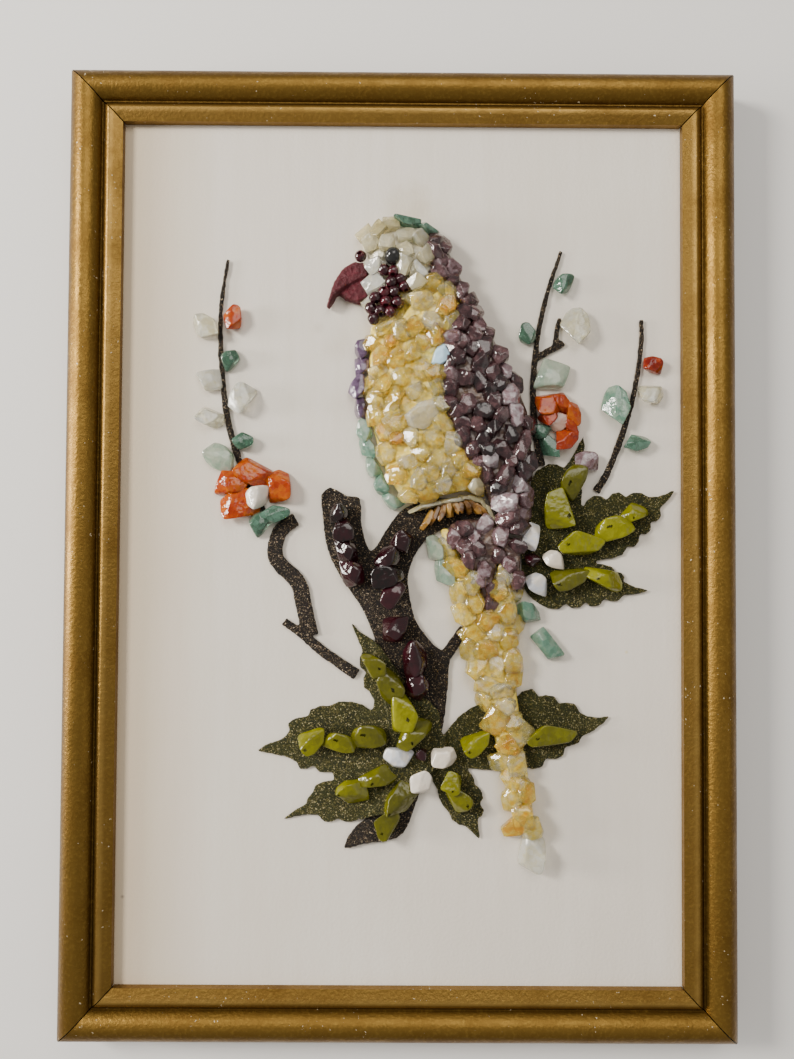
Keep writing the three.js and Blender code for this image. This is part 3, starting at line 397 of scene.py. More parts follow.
stoneLooks = {
    # The rim amount and colour of each look set a painted sheen at the stone's grazing edges
    "citrine": {
        "cloud": 0.85, "scale": 520.0, "gloss": 0.03, "clear": 0.78, "coat": 0.8, "rim": 0.4,
        "paintedSheenColour": (0.99, 0.93, 0.62),
        "shades": [(0.0, (0.90, 0.46, 0.0)), (0.25, (0.94, 0.66, 0.03)), (0.5, (0.98, 0.82, 0.16)),
                   (0.78, (0.98, 0.90, 0.48)), (1.0, (1.0, 0.98, 0.84))]},
    "amethyst": {
        "cloud": 0.5, "scale": 420.0, "gloss": 0.04, "clear": 0.45, "coat": 0.6, "rim": 0.2,
        "paintedSheenColour": (0.28, 0.17, 0.17),
        "shades": [(0.0, (0.011, 0.003, 0.005)), (0.3, (0.060, 0.023, 0.028)), (0.6, (0.18, 0.085, 0.092)),
                   (0.85, (0.38, 0.26, 0.29)), (1.0, (0.62, 0.55, 0.58))]},
    "violet": {
        "cloud": 0.5, "scale": 300.0, "gloss": 0.05, "clear": 0.2, "coat": 0.6, "rim": 0.35,
        "paintedSheenColour": (0.40, 0.32, 0.44),
        "shades": [(0.0, (0.012, 0.004, 0.014)), (0.4, (0.070, 0.034, 0.080)), (0.7, (0.18, 0.115, 0.21)),
                   (1.0, (0.50, 0.43, 0.52))]},
    "quartz": {
        "cloud": 0.4, "scale": 300.0, "gloss": 0.05, "clear": 0.65, "coat": 0.5, "rim": 0.3,
        "paintedSheenColour": (0.95, 0.91, 0.72),
        "shades": [(0.0, (0.60, 0.50, 0.20)), (0.4, (0.78, 0.70, 0.40)), (0.75, (0.88, 0.84, 0.62)),
                   (1.0, (0.97, 0.98, 0.94))]},
    # painted reflection: a chip coloured pale blue for the sky mirrored in its flat face
    "opal": {
        "cloud": 0.1, "scale": 200.0, "gloss": 0.05, "rim": 0.1,
        "paintedSheenColour": (0.75, 0.86, 0.92),
        "shades": [(0.0, (0.36, 0.60, 0.80)), (1.0, (0.55, 0.80, 0.97))]},
    "rose": {
        "cloud": 0.3, "scale": 220.0, "gloss": 0.06, "clear": 0.5, "rim": 0.3,
        "paintedSheenColour": (0.90, 0.78, 0.70),
        "shades": [(0.0, (0.66, 0.36, 0.26)), (1.0, (0.82, 0.58, 0.46))]},
    "garnet": {
        "cloud": 0.3, "scale": 260.0, "gloss": 0.04, "rim": 0.05,
        "paintedSheenColour": (0.16, 0.03, 0.05),
        "shades": [(0.0, (0.0035, 0.001, 0.001)), (0.5, (0.030, 0.003, 0.007)), (1.0, (0.15, 0.012, 0.024))]},
    "hematite": {
        "cloud": 0.1, "scale": 200.0, "gloss": 0.04, "rim": 0.05,
        "paintedSheenColour": (0.1, 0.1, 0.1),
        "shades": [(0.0, (0.006, 0.006, 0.006)), (1.0, (0.022, 0.022, 0.022))]},
    "claw": {
        "cloud": 0.6, "scale": 420.0, "gloss": 0.14, "coat": 0.2, "rim": 0.1,
        "paintedSheenColour": (0.36, 0.20, 0.04),
        "shades": [(0.0, (0.030, 0.010, 0.001)), (0.5, (0.15, 0.062, 0.005)), (1.0, (0.36, 0.20, 0.04))]},
    "jade": {
        "cloud": 0.3, "scale": 150.0, "gloss": 0.1, "coat": 0.12, "rim": 0.2,
        "paintedSheenColour": (0.25, 0.25, 0.01),
        "shades": [(0.0, (0.050, 0.048, 0.0)), (0.5, (0.115, 0.112, 0.0)), (1.0, (0.25, 0.25, 0.002))]},
    "carnelian": {
        "cloud": 0.7, "scale": 150.0, "gloss": 0.08, "clear": 0.3, "coat": 0.05, "rim": 0.1,
        "paintedSheenColour": (0.62, 0.16, 0.0),
        "shades": [(0.0, (0.20, 0.003, 0.0)), (0.5, (0.46, 0.045, 0.0)), (1.0, (0.68, 0.165, 0.0))]},
    "howlite": {
        "cloud": 0.3, "scale": 260.0, "gloss": 0.12, "rim": 0.1,
        "paintedSheenColour": (0.85, 0.83, 0.80),
        "shades": [(0.0, (0.52, 0.56, 0.63)), (0.35, (0.62, 0.64, 0.68)), (0.5, (0.74, 0.69, 0.62)),
                   (1.0, (0.84, 0.74, 0.60))]},
    "aventurine": {
        "cloud": 0.35, "scale": 240.0, "gloss": 0.06, "clear": 0.5, "rim": 0.3,
        "paintedSheenColour": (0.48, 0.62, 0.50),
        "shades": [(0.0, (0.025, 0.075, 0.042)), (0.35, (0.075, 0.19, 0.12)), (0.6, (0.19, 0.40, 0.29)),
                   (0.8, (0.42, 0.58, 0.45)), (1.0, (0.64, 0.72, 0.58))]},
}
slotOf = {"opal": "quartz", "rose": "howlite", "violet": "amethyst"}


def makeBedFinish(name, shades):
    finish, tree, shader, place = startFinish(name)
    cloud = addGroup(tree, shared["cloud"], place, Tone=0.5, Cloud=0.4, Scale=420.0)
    setInputs(shader, Base_Color=addRamp(tree, cloud["Shade"], shades), Roughness=0.22, Coat_Weight=0.6)
    addBump(tree, shader, cloud["Height"], 0.0010)
    return finish


# Glue and stone dust that show between the chips
bedLooks = {
    "citrine": [(0.1, (0.76, 0.44, 0.01)), (0.5, (0.95, 0.74, 0.13)), (0.9, (1.0, 0.94, 0.60))],
    "amethyst": [(0.1, (0.018, 0.007, 0.008)), (0.5, (0.10, 0.055, 0.045)), (0.9, (0.30, 0.19, 0.11))],
    "quartz": [(0.1, (0.55, 0.49, 0.32)), (0.5, (0.74, 0.69, 0.52)), (0.9, (0.90, 0.88, 0.78))],
}


def makeFlockFinish(name, look):
    finish, tree, shader, place = startFinish(name)
    flock = addGroup(tree, shared["glitter"], place, Grains=look["grains"], Share=look["share"])
    ground = addRamp(tree, addNoise(tree, place, 140.0, 3.0), look["ground"])
    glint = addRamp(tree, flock["Pick"], look["glints"])
    setInputs(
        shader, Base_Color=addMix(tree, flock["Fleck"], ground, glint),
        Roughness=addRange(tree, flock["Fleck"], 0, 1, 0.85, 0.3),
        Metallic=addMath(tree, "MULTIPLY", flock["Fleck"], 0.5),
    )
    addBump(tree, shader, flock["Height"], 0.0005)
    return finish


flockLooks = {
    "black_flock": {
        "grains": 3200.0, "share": 0.36,
        "ground": [(0.3, (0.004, 0.003, 0.002)), (0.7, (0.014, 0.009, 0.007))],
        "glints": [(0.0, (0.020, 0.013, 0.009)), (0.5, (0.09, 0.065, 0.040)), (0.86, (0.24, 0.17, 0.10)),
                   (1.0, (0.78, 0.62, 0.42))]},
    "olive_flock": {
        "grains": 3200.0, "share": 0.48,
        "ground": [(0.3, (0.014, 0.018, 0.003)), (0.7, (0.036, 0.042, 0.006))],
        "glints": [(0.0, (0.022, 0.025, 0.005)), (0.45, (0.09, 0.086, 0.020)), (0.84, (0.24, 0.20, 0.06)),
                   (1.0, (0.76, 0.66, 0.36))]},
}


def makeBeakFinish():
    finish, tree, shader, place = startFinish("beakLeather")
    fold = addNoise(tree, place, 620.0, 6.0, 0.7)
    dust = addRamp(tree, addNoise(tree, place, 150.0, 3.0), [
        (0.3, (0.060, 0.001, 0.006)), (0.55, (0.105, 0.003, 0.012)), (0.75, (0.17, 0.009, 0.026))])
    # paler where the folds rise highest
    paleFoldTops = addMix(tree, addRange(tree, fold, 0.56, 0.78, 0.0, 0.5), dust, (0.30, 0.035, 0.06))
    setInputs(shader, Base_Color=paleFoldTops, Roughness=addRange(tree, fold, 0.3, 0.7, 0.4, 0.6))
    addBump(tree, shader, fold, 0.0012)
    return finish


def makeBoardFinish():
    finish, tree, shader, place = startFinish("creamBoard")
    stretch = addNode(tree, "Mapping", Vector=place, Scale=(1.0, 1.0, 0.08))
    streak = addNoise(tree, stretch.outputs[0], 240.0, 4.0, 0.6)
    cloud = addNoise(tree, place, 14.0, 4.0, 0.6)
    base = addRamp(tree, cloud, [(0.25, (0.84, 0.775, 0.68)), (0.75, (0.90, 0.845, 0.76))])
    base = addMix(tree, addRange(tree, streak, 0.35, 0.75, 0.0, 0.3), base, (0.76, 0.69, 0.58))
    # painted shadow of the left rail, browner towards the card's left edge
    across = addNode(tree, "SeparateXYZ", Vector=place).outputs["X"]
    paintedRailShadow = addRange(tree, across, railShadowPaint["from"], railShadowPaint["to"], railShadowPaint["strength"], 0.0)
    base = addMix(tree, paintedRailShadow, base, railShadowPaint["colour"])
    ragged = addNoise(tree, place, 150.0, 3.0)
    for x, y, radius, colour, strength in boardMarks:
        spot = tree.nodes.new("ShaderNodeVectorMath")
        spot.operation = "DISTANCE"
        setSocket(spot.inputs[0], place)
        setSocket(spot.inputs[1], onBoard(x, y))
        edge = radius / 1000
        away = addMath(tree, "ADD", spot.outputs["Value"], addMath(tree, "MULTIPLY", ragged, edge * 1.4))
        base = addMix(tree, addRange(tree, away, edge * 1.7, edge * 0.7, 0.0, strength), base, colour)
    setInputs(shader, Base_Color=base, Roughness=0.62)
    addBump(tree, shader, addNoise(tree, place, 900.0, 3.0), 0.0002, 0.4)
    return finish


# Painted shadow of the left rail: the card is browner along its left edge
railShadowPaint = {"from": -0.1, "to": -0.062, "strength": 0.8, "colour": (0.62, 0.46, 0.26)}

# Marks on the board: x, y, radius, colour, strength
boardMarks = [
    (4, 117, 12, (0.62, 0.53, 0.38), 0.5),
    (-22, 70, 7, (0.60, 0.52, 0.42), 0.25),
    (77, -34, 1.0, (0.75, 0.62, 0.12), 0.8),
    (-18, 50, 9, (0.58, 0.50, 0.40), 0.25),
    (-29, 76, 3, (0.55, 0.48, 0.40), 0.3),
    (-93, -117, 0.8, (0.25, 0.2, 0.15), 0.8),
    (-87, -149, 0.7, (0.25, 0.2, 0.15), 0.8),
    (36, 65, 0.7, (0.3, 0.25, 0.2), 0.7),
]


def makeGiltFinish():
    finish, tree, shader, place = startFinish("antiqueGilt")
    wear = addGroup(tree, shared["wear"], place, Chips=0.76)
    inset = readTone(tree, "inset")
    # across the moulding: a painted highlight on the cushion crest and the bevel ridge, painted shade down
    # the outer side, and the groove darkest from patina and painted shade
    patinaAndPaintedShading = addRamp(tree, inset, [
        (0.0, (0.07, 0.033, 0.004)), (0.12, (0.14, 0.075, 0.012)), (0.38, (0.24, 0.138, 0.028)),
        (0.60, (0.18, 0.100, 0.018)), (0.66, (0.04, 0.019, 0.003)), (0.72, (0.23, 0.132, 0.029)),
        (0.80, (0.38, 0.232, 0.060)), (0.86, (0.25, 0.145, 0.033)), (1.0, (0.23, 0.132, 0.028)),
    ])
    dark = addMix(tree, addRange(tree, wear["Blotch"], 0.45, 0.75, 0.0, 0.6), patinaAndPaintedShading, (0.11, 0.05, 0.006))
    fine = addMix(tree, addRange(tree, wear["Streak"], 0.5, 0.8, 0.0, 0.35), dark, (0.44, 0.28, 0.06))
    setInputs(
        shader, Base_Color=addMix(tree, wear["Chip"], fine, (0.62, 0.52, 0.34)),
        Metallic=addMath(tree, "SUBTRACT", 0.88, addMath(tree, "MULTIPLY", wear["Chip"], 0.7)),
        Roughness=addRange(tree, wear["Blotch"], 0.3, 0.7, 0.33, 0.5),
    )
    addBump(tree, shader, wear["Height"], 0.00025, 0.6)
    return finish


# Moulding, in millimetres, with the same section as the modelled rails
moulding = {
    "width": 229, "height": 330, "across": 19, "deep": 17, "round": 8, "bevel": 3.9, "fillet": 2.9,
    "groove": 0.7, "grooveCut": 0.5, "ridgeDrop": 1.6, "ridgeFlat": 0.5, "lip": 14, "rebate": 11.5,
    "backStrip": 13, "topEdge": 6.5, "mitreGap": 0.35, "roundSteps": 22, "stepLength": 3.0,
}


def railSection():
    m = moulding
    cushion = m["across"] - m["bevel"] - m["fillet"] - m["groove"]
    crest = 0.56 * cushion
    side = m["deep"] - m["round"]
    lastAngle = math.acos(cushion / crest - 1)
    section = [(0, 0), (0, side * 0.5)]
    for step in range(m["roundSteps"] + 1):
        angle = math.pi + (lastAngle - math.pi) * step / m["roundSteps"]
        section.append((crest * (1 + math.cos(angle)), side + m["round"] * math.sin(angle)))
    floor = section[-1][1] - m["grooveCut"]
    ridge = m["across"] - m["bevel"]
    top = m["deep"] - m["ridgeDrop"]
    start = cushion + m["groove"]
    section += [(cushion + m["groove"] * 0.35, floor), (start, floor)]
    for share, drop in ((0.22, 1.9), (0.45, 1.05), (0.7, 0.4), (0.92, 0.06)):  # hollow up to the ridge
        section.append((start + (ridge - m["ridgeFlat"] - start) * share, top - drop * (top - floor) / 2.6))
    section += [(ridge - m["ridgeFlat"], top), (ridge, top)]
    for share in (0.33, 0.66, 0.93, 1.0):
        section.append((ridge + m["bevel"] * share, top + (m["lip"] - top) * share))
    section += [(m["across"], m["rebate"]), (m["backStrip"], m["rebate"]), (m["backStrip"], 0)]
    return section


def modelRail(name, length, distance):
    # a rail above the middle of the picture, as far from it as its outer edge is
    m = moulding
    section = railSection()
    steps = round(length / m["stepLength"])
    clearSelection()
    bpy.ops.mesh.primitive_grid_add(
        x_subdivisions=steps, y_subdivisions=1, size=length / 1000,
        location=(0, length / 2000, (distance + picture["middle"]) / 1000),
    )
    rail = nameActive(name)
    bpy.ops.object.transform_apply(location=True, rotation=True, scale=True)
    editCorners(rail, lambda place: place.y > 0.001)  # one edge of the grid is kept
    bpy.ops.mesh.delete(type="VERT")
    selectMesh()
    for (inset, depth), (nextInset, nextDepth) in zip(section, section[1:] + section[:1]):
        pullMesh(0, (depth - nextDepth) / 1000, (inset - nextInset) / 1000)
    selectMesh()
    bpy.ops.mesh.remove_doubles(threshold=weldGap)
    top = (distance + picture["middle"]) / 1000
    for side in (-1, 1):
        selectMesh()
        bpy.ops.mesh.bisect(
            plane_co=(side * (length / 2 - m["mitreGap"] * 0.7) / 1000, 0, top), plane_no=(side, 0, -1),
            clear_outer=True, use_fill=True,
        )
    closeMesh()
    layer = rail.data.attributes.new("inset", "FLOAT", "POINT")
    depths = [(top - corner.co.z) * 1000 / m["across"] for corner in rail.data.vertices]
    layer.data.foreach_set("value", depths)
    return rail


def turnInPlane(piece, degrees):
    middle = Vector((0, 0, picture["middle"] / 1000))
    turn = Matrix.Rotation(math.radians(degrees), 4, "Y")
    piece.data.transform(Matrix.Translation(middle) @ turn @ Matrix.Translation(-middle))


def unevenness(name, size):
    texture = bpy.data.textures.new(name, "CLOUDS")
    texture.noise_scale = size
    texture.noise_depth = 3
    return texture


def makeRails(finish):
    m = moulding
    across = modelRail("railAcross", m["width"], m["height"] / 2)
    upright = modelRail("railUpright", m["height"], m["width"] / 2)
    for name, model, turn in (("rail_top", across, 0), ("rail_bottom", across, 180),
                              ("rail_right", upright, 90), ("rail_left", upright, 270)):
        rail = newObject(name.replace("rail_", "giltRail_"), model.data.copy())
        turnInPlane(rail, turn)
        activate(rail)
        bpy.ops.object.shade_smooth_by_angle(angle=math.radians(32))
        fitPiece(rail, finish, "gilt_wood", name)
    bpy.data.objects.remove(across)
    bpy.data.objects.remove(upright)


# Flocked sheets: the cut shapes, roughened with grains and slightly ragged at the edge
sheetLooks = {"grain": 0.00045, "soften": 2, "rough": 0.00045, "edge": 0.0005, "level": 0.55}


def makeSheet(node, name, finish, slotName):
    sheet = softCopy(node, name, sheetLooks)
    for texture, strength in ((unevenness(name, 0.0012), sheetLooks["rough"]),
                              (unevenness(name + "Edge", 0.005), sheetLooks["edge"])):
        applyModifier(sheet, "DISPLACE", texture=texture, strength=strength, mid_level=sheetLooks["level"])
    bpy.ops.object.shade_smooth()
    fitPiece(sheet, finish, slotName, node)


# Stone models, each made once at unit size and copied into every place
stoneModels = {
    "slab": {"count": 14, "flats": 6, "lean": (0.0, 0.45), "reach": (0.36, 0.48), "tops": 3, "edge": 0.045},
    "tile": {"count": 8, "flats": 4, "lean": (-0.05, 0.2), "reach": (0.44, 0.49), "tops": 2, "edge": 0.045},
    "tumbled": {"count": 8, "flats": 6, "lean": (-0.4, 0.8), "reach": (0.32, 0.46), "tops": 2, "edge": 0.09,
                "smooth": 2, "soften": 2},
    "round": {"count": 8, "flats": 6, "lean": (-0.7, 0.9), "reach": (0.38, 0.50), "tops": 0, "edge": 0.12,
              "smooth": 2, "soften": 4},
    "drilled": {"count": 8, "flats": 5, "lean": (-0.4, 0.6), "reach": (0.24, 0.47), "tops": 1, "edge": 0.10,
                "smooth": 2, "soften": 2, "drill": 0.05},
    "long": {"count": 6, "flats": 5, "lean": (-0.2, 0.7), "reach": (0.30, 0.46), "tops": 1, "edge": 0.09,
             "smooth": 1, "soften": 1},
}


def drillStone(stone, dice, radius):
    # a threading hole, sunk into the upper side
    crest = max(stone.data.vertices, key=lambda corner: corner.co.z).co
    aside, along = dice.uniform(-0.12, 0.12), dice.uniform(-0.06, 0.06)
    spot = Vector((crest.x * 0.5 + aside, crest.y * 0.5 + along, crest.z))
    nearest = min(stone.data.polygons, key=lambda face: (face.center - spot).length)
    chosen = [face.index for face in stone.data.polygons if (face.center - nearest.center).length < radius]
    activate(stone)
    openMesh()
    selectMesh("DESELECT")
    leaveMesh()
    for index in chosen:
        stone.data.polygons[index].select = True
    openMesh()
    for depth in (0.03, 0.25):  # a step for the rim, then the hole
        pullMesh(0, 0, -depth)
    leaveMesh()


def modelStone(name, seed, look):
    dice = random.Random(seed)
    clearSelection()
    bpy.ops.mesh.primitive_cube_add(size=1)
    stone = nameActive(name)
    openMesh()
    for step in range(look["flats"] + look["tops"]):
        around = (step + dice.uniform(-0.35, 0.35)) * math.tau / look["flats"]
        lean = dice.uniform(*look["lean"]) if step < look["flats"] else dice.uniform(1.05, 1.4)
        level = math.cos(lean)
        facing = Vector((math.cos(around) * level, math.sin(around) * level, math.sin(lean)))
        selectMesh()
        bpy.ops.mesh.bisect(
            plane_co=facing * dice.uniform(*look["reach"]), plane_no=facing, clear_outer=True, use_fill=True,
        )
    selectMesh()
    bpy.ops.mesh.remove_doubles(threshold=0.06)
    bpy.ops.mesh.bevel(offset=look["edge"], segments=2, affect="EDGES", clamp_overlap=True)
    selectMesh()
    bpy.ops.mesh.remove_doubles(threshold=0.005)
    for turn in range(look.get("soften", 0)):
        bpy.ops.mesh.vertices_smooth(factor=0.6)
    closeMesh()
    if "smooth" in look:
        applyModifier(stone, "SUBSURF", levels=look["smooth"], render_levels=look["smooth"])
    if "drill" in look:
        drillStone(stone, dice, look["drill"])
    corners = [corner.co for corner in stone.data.vertices]
    low = Vector([min(corner[axis] for corner in corners) for axis in range(3)])
    high = Vector([max(corner[axis] for corner in corners) for axis in range(3)])
    size = high - low
    middle = Vector(((low.x + high.x) / 2, (low.y + high.y) / 2, low.z))
    toUnit = Matrix.Diagonal((1 / size.x, 1 / size.y, 1 / size.z, 1))
    stone.data.transform(toUnit @ Matrix.Translation(-middle))
    activate(stone)
    bpy.ops.object.shade_smooth_by_angle(angle=math.radians(40))
    return stone


def copyStone(model, name, matrix, tone):
    stone = newObject(name, model.data.copy())
    stone.data.transform(matrix)
    layer = stone.data.attributes.new("tone", "FLOAT", "POINT")  # its material turns it into a shade
    layer.data.foreach_set("value", [tone] * len(stone.data.vertices))
    return stone


# How many of four spots round a chip may miss the relief, and how proud the chosen chips lie
laying = {"overhang": 2, "chosenOverhang": 4, "proud": 0.7}


def skinOf(node):
    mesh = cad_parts[node].data
    corners = [corner.co for corner in mesh.vertices]
    return BVHTree.FromPolygons(corners, [face.vertices[:] for face in mesh.polygons])


def frontAt(skin, x, z):
    hit = skin.ray_cast(Vector((x, -0.06, z)), Vector((0, 1, 0)))
    return hit[0].y if hit[0] is not None else None


def scatterChips(node, skin, look, dice):
    # the chosen chips first, then as many more as find room between them
    low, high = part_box(node)
    apart = look["apart"] / 1000
    laid = []
    for x, y, length, width, turn, tone, *stone in look["chosen"]:
        laid.append({
            "x": x / 1000, "z": (y + picture["middle"]) / 1000, "size": (length / 1000, width / 1000),
            "turn": math.radians(turn), "tone": tone, "finish": stone[0] if stone else look["stone"],
            "room": (length + width) / 2200,
            "sink": look["sink"] - laying["proud"], "overhang": laying["chosenOverhang"],
        })
    for dart in range(look["darts"]):
        x, z = dice.uniform(low.x, high.x), dice.uniform(low.z, high.z)
        if frontAt(skin, x, z) is None:
            continue
        if any(math.dist((x, z), (chip["x"], chip["z"])) < (apart + chip["room"]) / 2 for chip in laid):
            continue
        laid.append({
            "x": x, "z": z,
            "size": (apart * dice.uniform(*look["longer"]), apart * dice.uniform(*look["wider"])),
            "turn": dice.gauss(look["grain"], look["stray"]), "room": apart, "finish": look["stone"],
            "sink": look["sink"], "overhang": laying["overhang"],
            "tone": look["tone"](x * 1000, z * 1000 - picture["middle"], dice),
        })
    return laid


def settleChip(chip, skin, look, dice):
    # lies on the relief, leaning as the padding under it does
    x, z = chip["x"], chip["z"]
    y = frontAt(skin, x, z)
    reach = look["apart"] / 2000
    around = [frontAt(skin, x + dx, z + dz) for dx, dz in ((-reach, 0), (reach, 0), (0, -reach), (0, reach))]
    if y is None or sum(side is None for side in around) > chip["overhang"]:
        return None
    left, right, below, above = [y + look["edgeFall"] / 1000 if side is None else side for side in around]
    facing = Vector(((right - left) / (2 * reach), -1.5, (above - below) / (2 * reach))).normalized()
    return (
        Matrix.Translation(Vector((x, y, z)) - facing * chip["sink"] / 1000)
        @ Vector((0, 0, 1)).rotation_difference(facing).to_matrix().to_4x4()
        @ Matrix.Rotation(chip["turn"], 4, "Z")
        @ Matrix.Rotation(dice.gauss(0, look["tilt"]), 4, "X")
        @ Matrix.Rotation(dice.gauss(0, look["tilt"]), 4, "Y")
        @ Matrix.Diagonal((*chip["size"], look["thick"] * dice.uniform(0.85, 1.15) / 1000, 1))
    )


def keepBehindFront(stone):
    # no chip stands further out than the modelled relief does
    front = min(corner.co.y for corner in stone.data.vertices)
    stone.data.transform(Matrix.Translation((0, max(0, cadBox[0][1] - front), 0)))
    return stone


def layMosaic(name, node, models, look):
    dice = random.Random(look["seed"])
    skin = skinOf(node)
    laid = {}
    chips = scatterChips(node, skin, look, dice)
    for chip in chips:
        matrix = settleChip(chip, skin, look, dice)
        if matrix is not None:
            stone = copyStone(dice.choice(models), name, matrix, chip["tone"])
            laid.setdefault(chip["finish"], []).append(keepBehindFront(stone))
    for stone, placed in laid.items():
        main = stone == look["stone"]
        piece = joinPieces(placed, name if main else name + stone.capitalize())
        fitPiece(piece, finishes[stone], slotOf.get(stone, stone), *([node] if main else []))
    print(name, len(chips), "chips")


# The padded relief under the chips, sunk so that they stand out of it
bedShape = {"grain": 0.0008, "soften": 6, "rim": 0.0015, "sink": 0.0009, "least": 0.0001}


def makeBed(node, name, finish, slotName):
    bed = softCopy(node, name, bedShape)
    face = -picture["face"] / 1000
    for corner in bed.data.vertices:
        if corner.co.y < face - bedShape["rim"]:
            corner.co.y = min(face - bedShape["least"], corner.co.y + bedShape["sink"])
    bpy.ops.object.shade_smooth()
    fitPiece(bed, finish, slotName)


def placeStone(spec, models, name, lift, tones, order):
    x, y, length, width, height, turn = spec
    dice = random.Random(round(7 * x + 13 * y) + order)
    model = models[dice.randrange(len(models))]
    matrix = (
        Matrix.Translation(onBoard(x, y, lift + picture["lift"]))
        @ standUp @ Matrix.Rotation(math.radians(turn), 4, "Z")
        @ Matrix.Diagonal((length / 1000, width / 1000, height / 1000, 1))
    )
    return copyStone(model, name, matrix, dice.uniform(*tones))


def layStones(name, group):
    made = models[group.get("model", "tumbled")]
    lift = sheetTops.get(group.get("lift"), 0)
    laid = [placeStone(spec, made, name, lift, group["tones"], i) for i, spec in enumerate(group["specs"])]
    fitPiece(joinPieces(laid, name), finishes[group["stone"]], slotOf.get(group["stone"], group["stone"]),
             *group.get("nodes", ()))


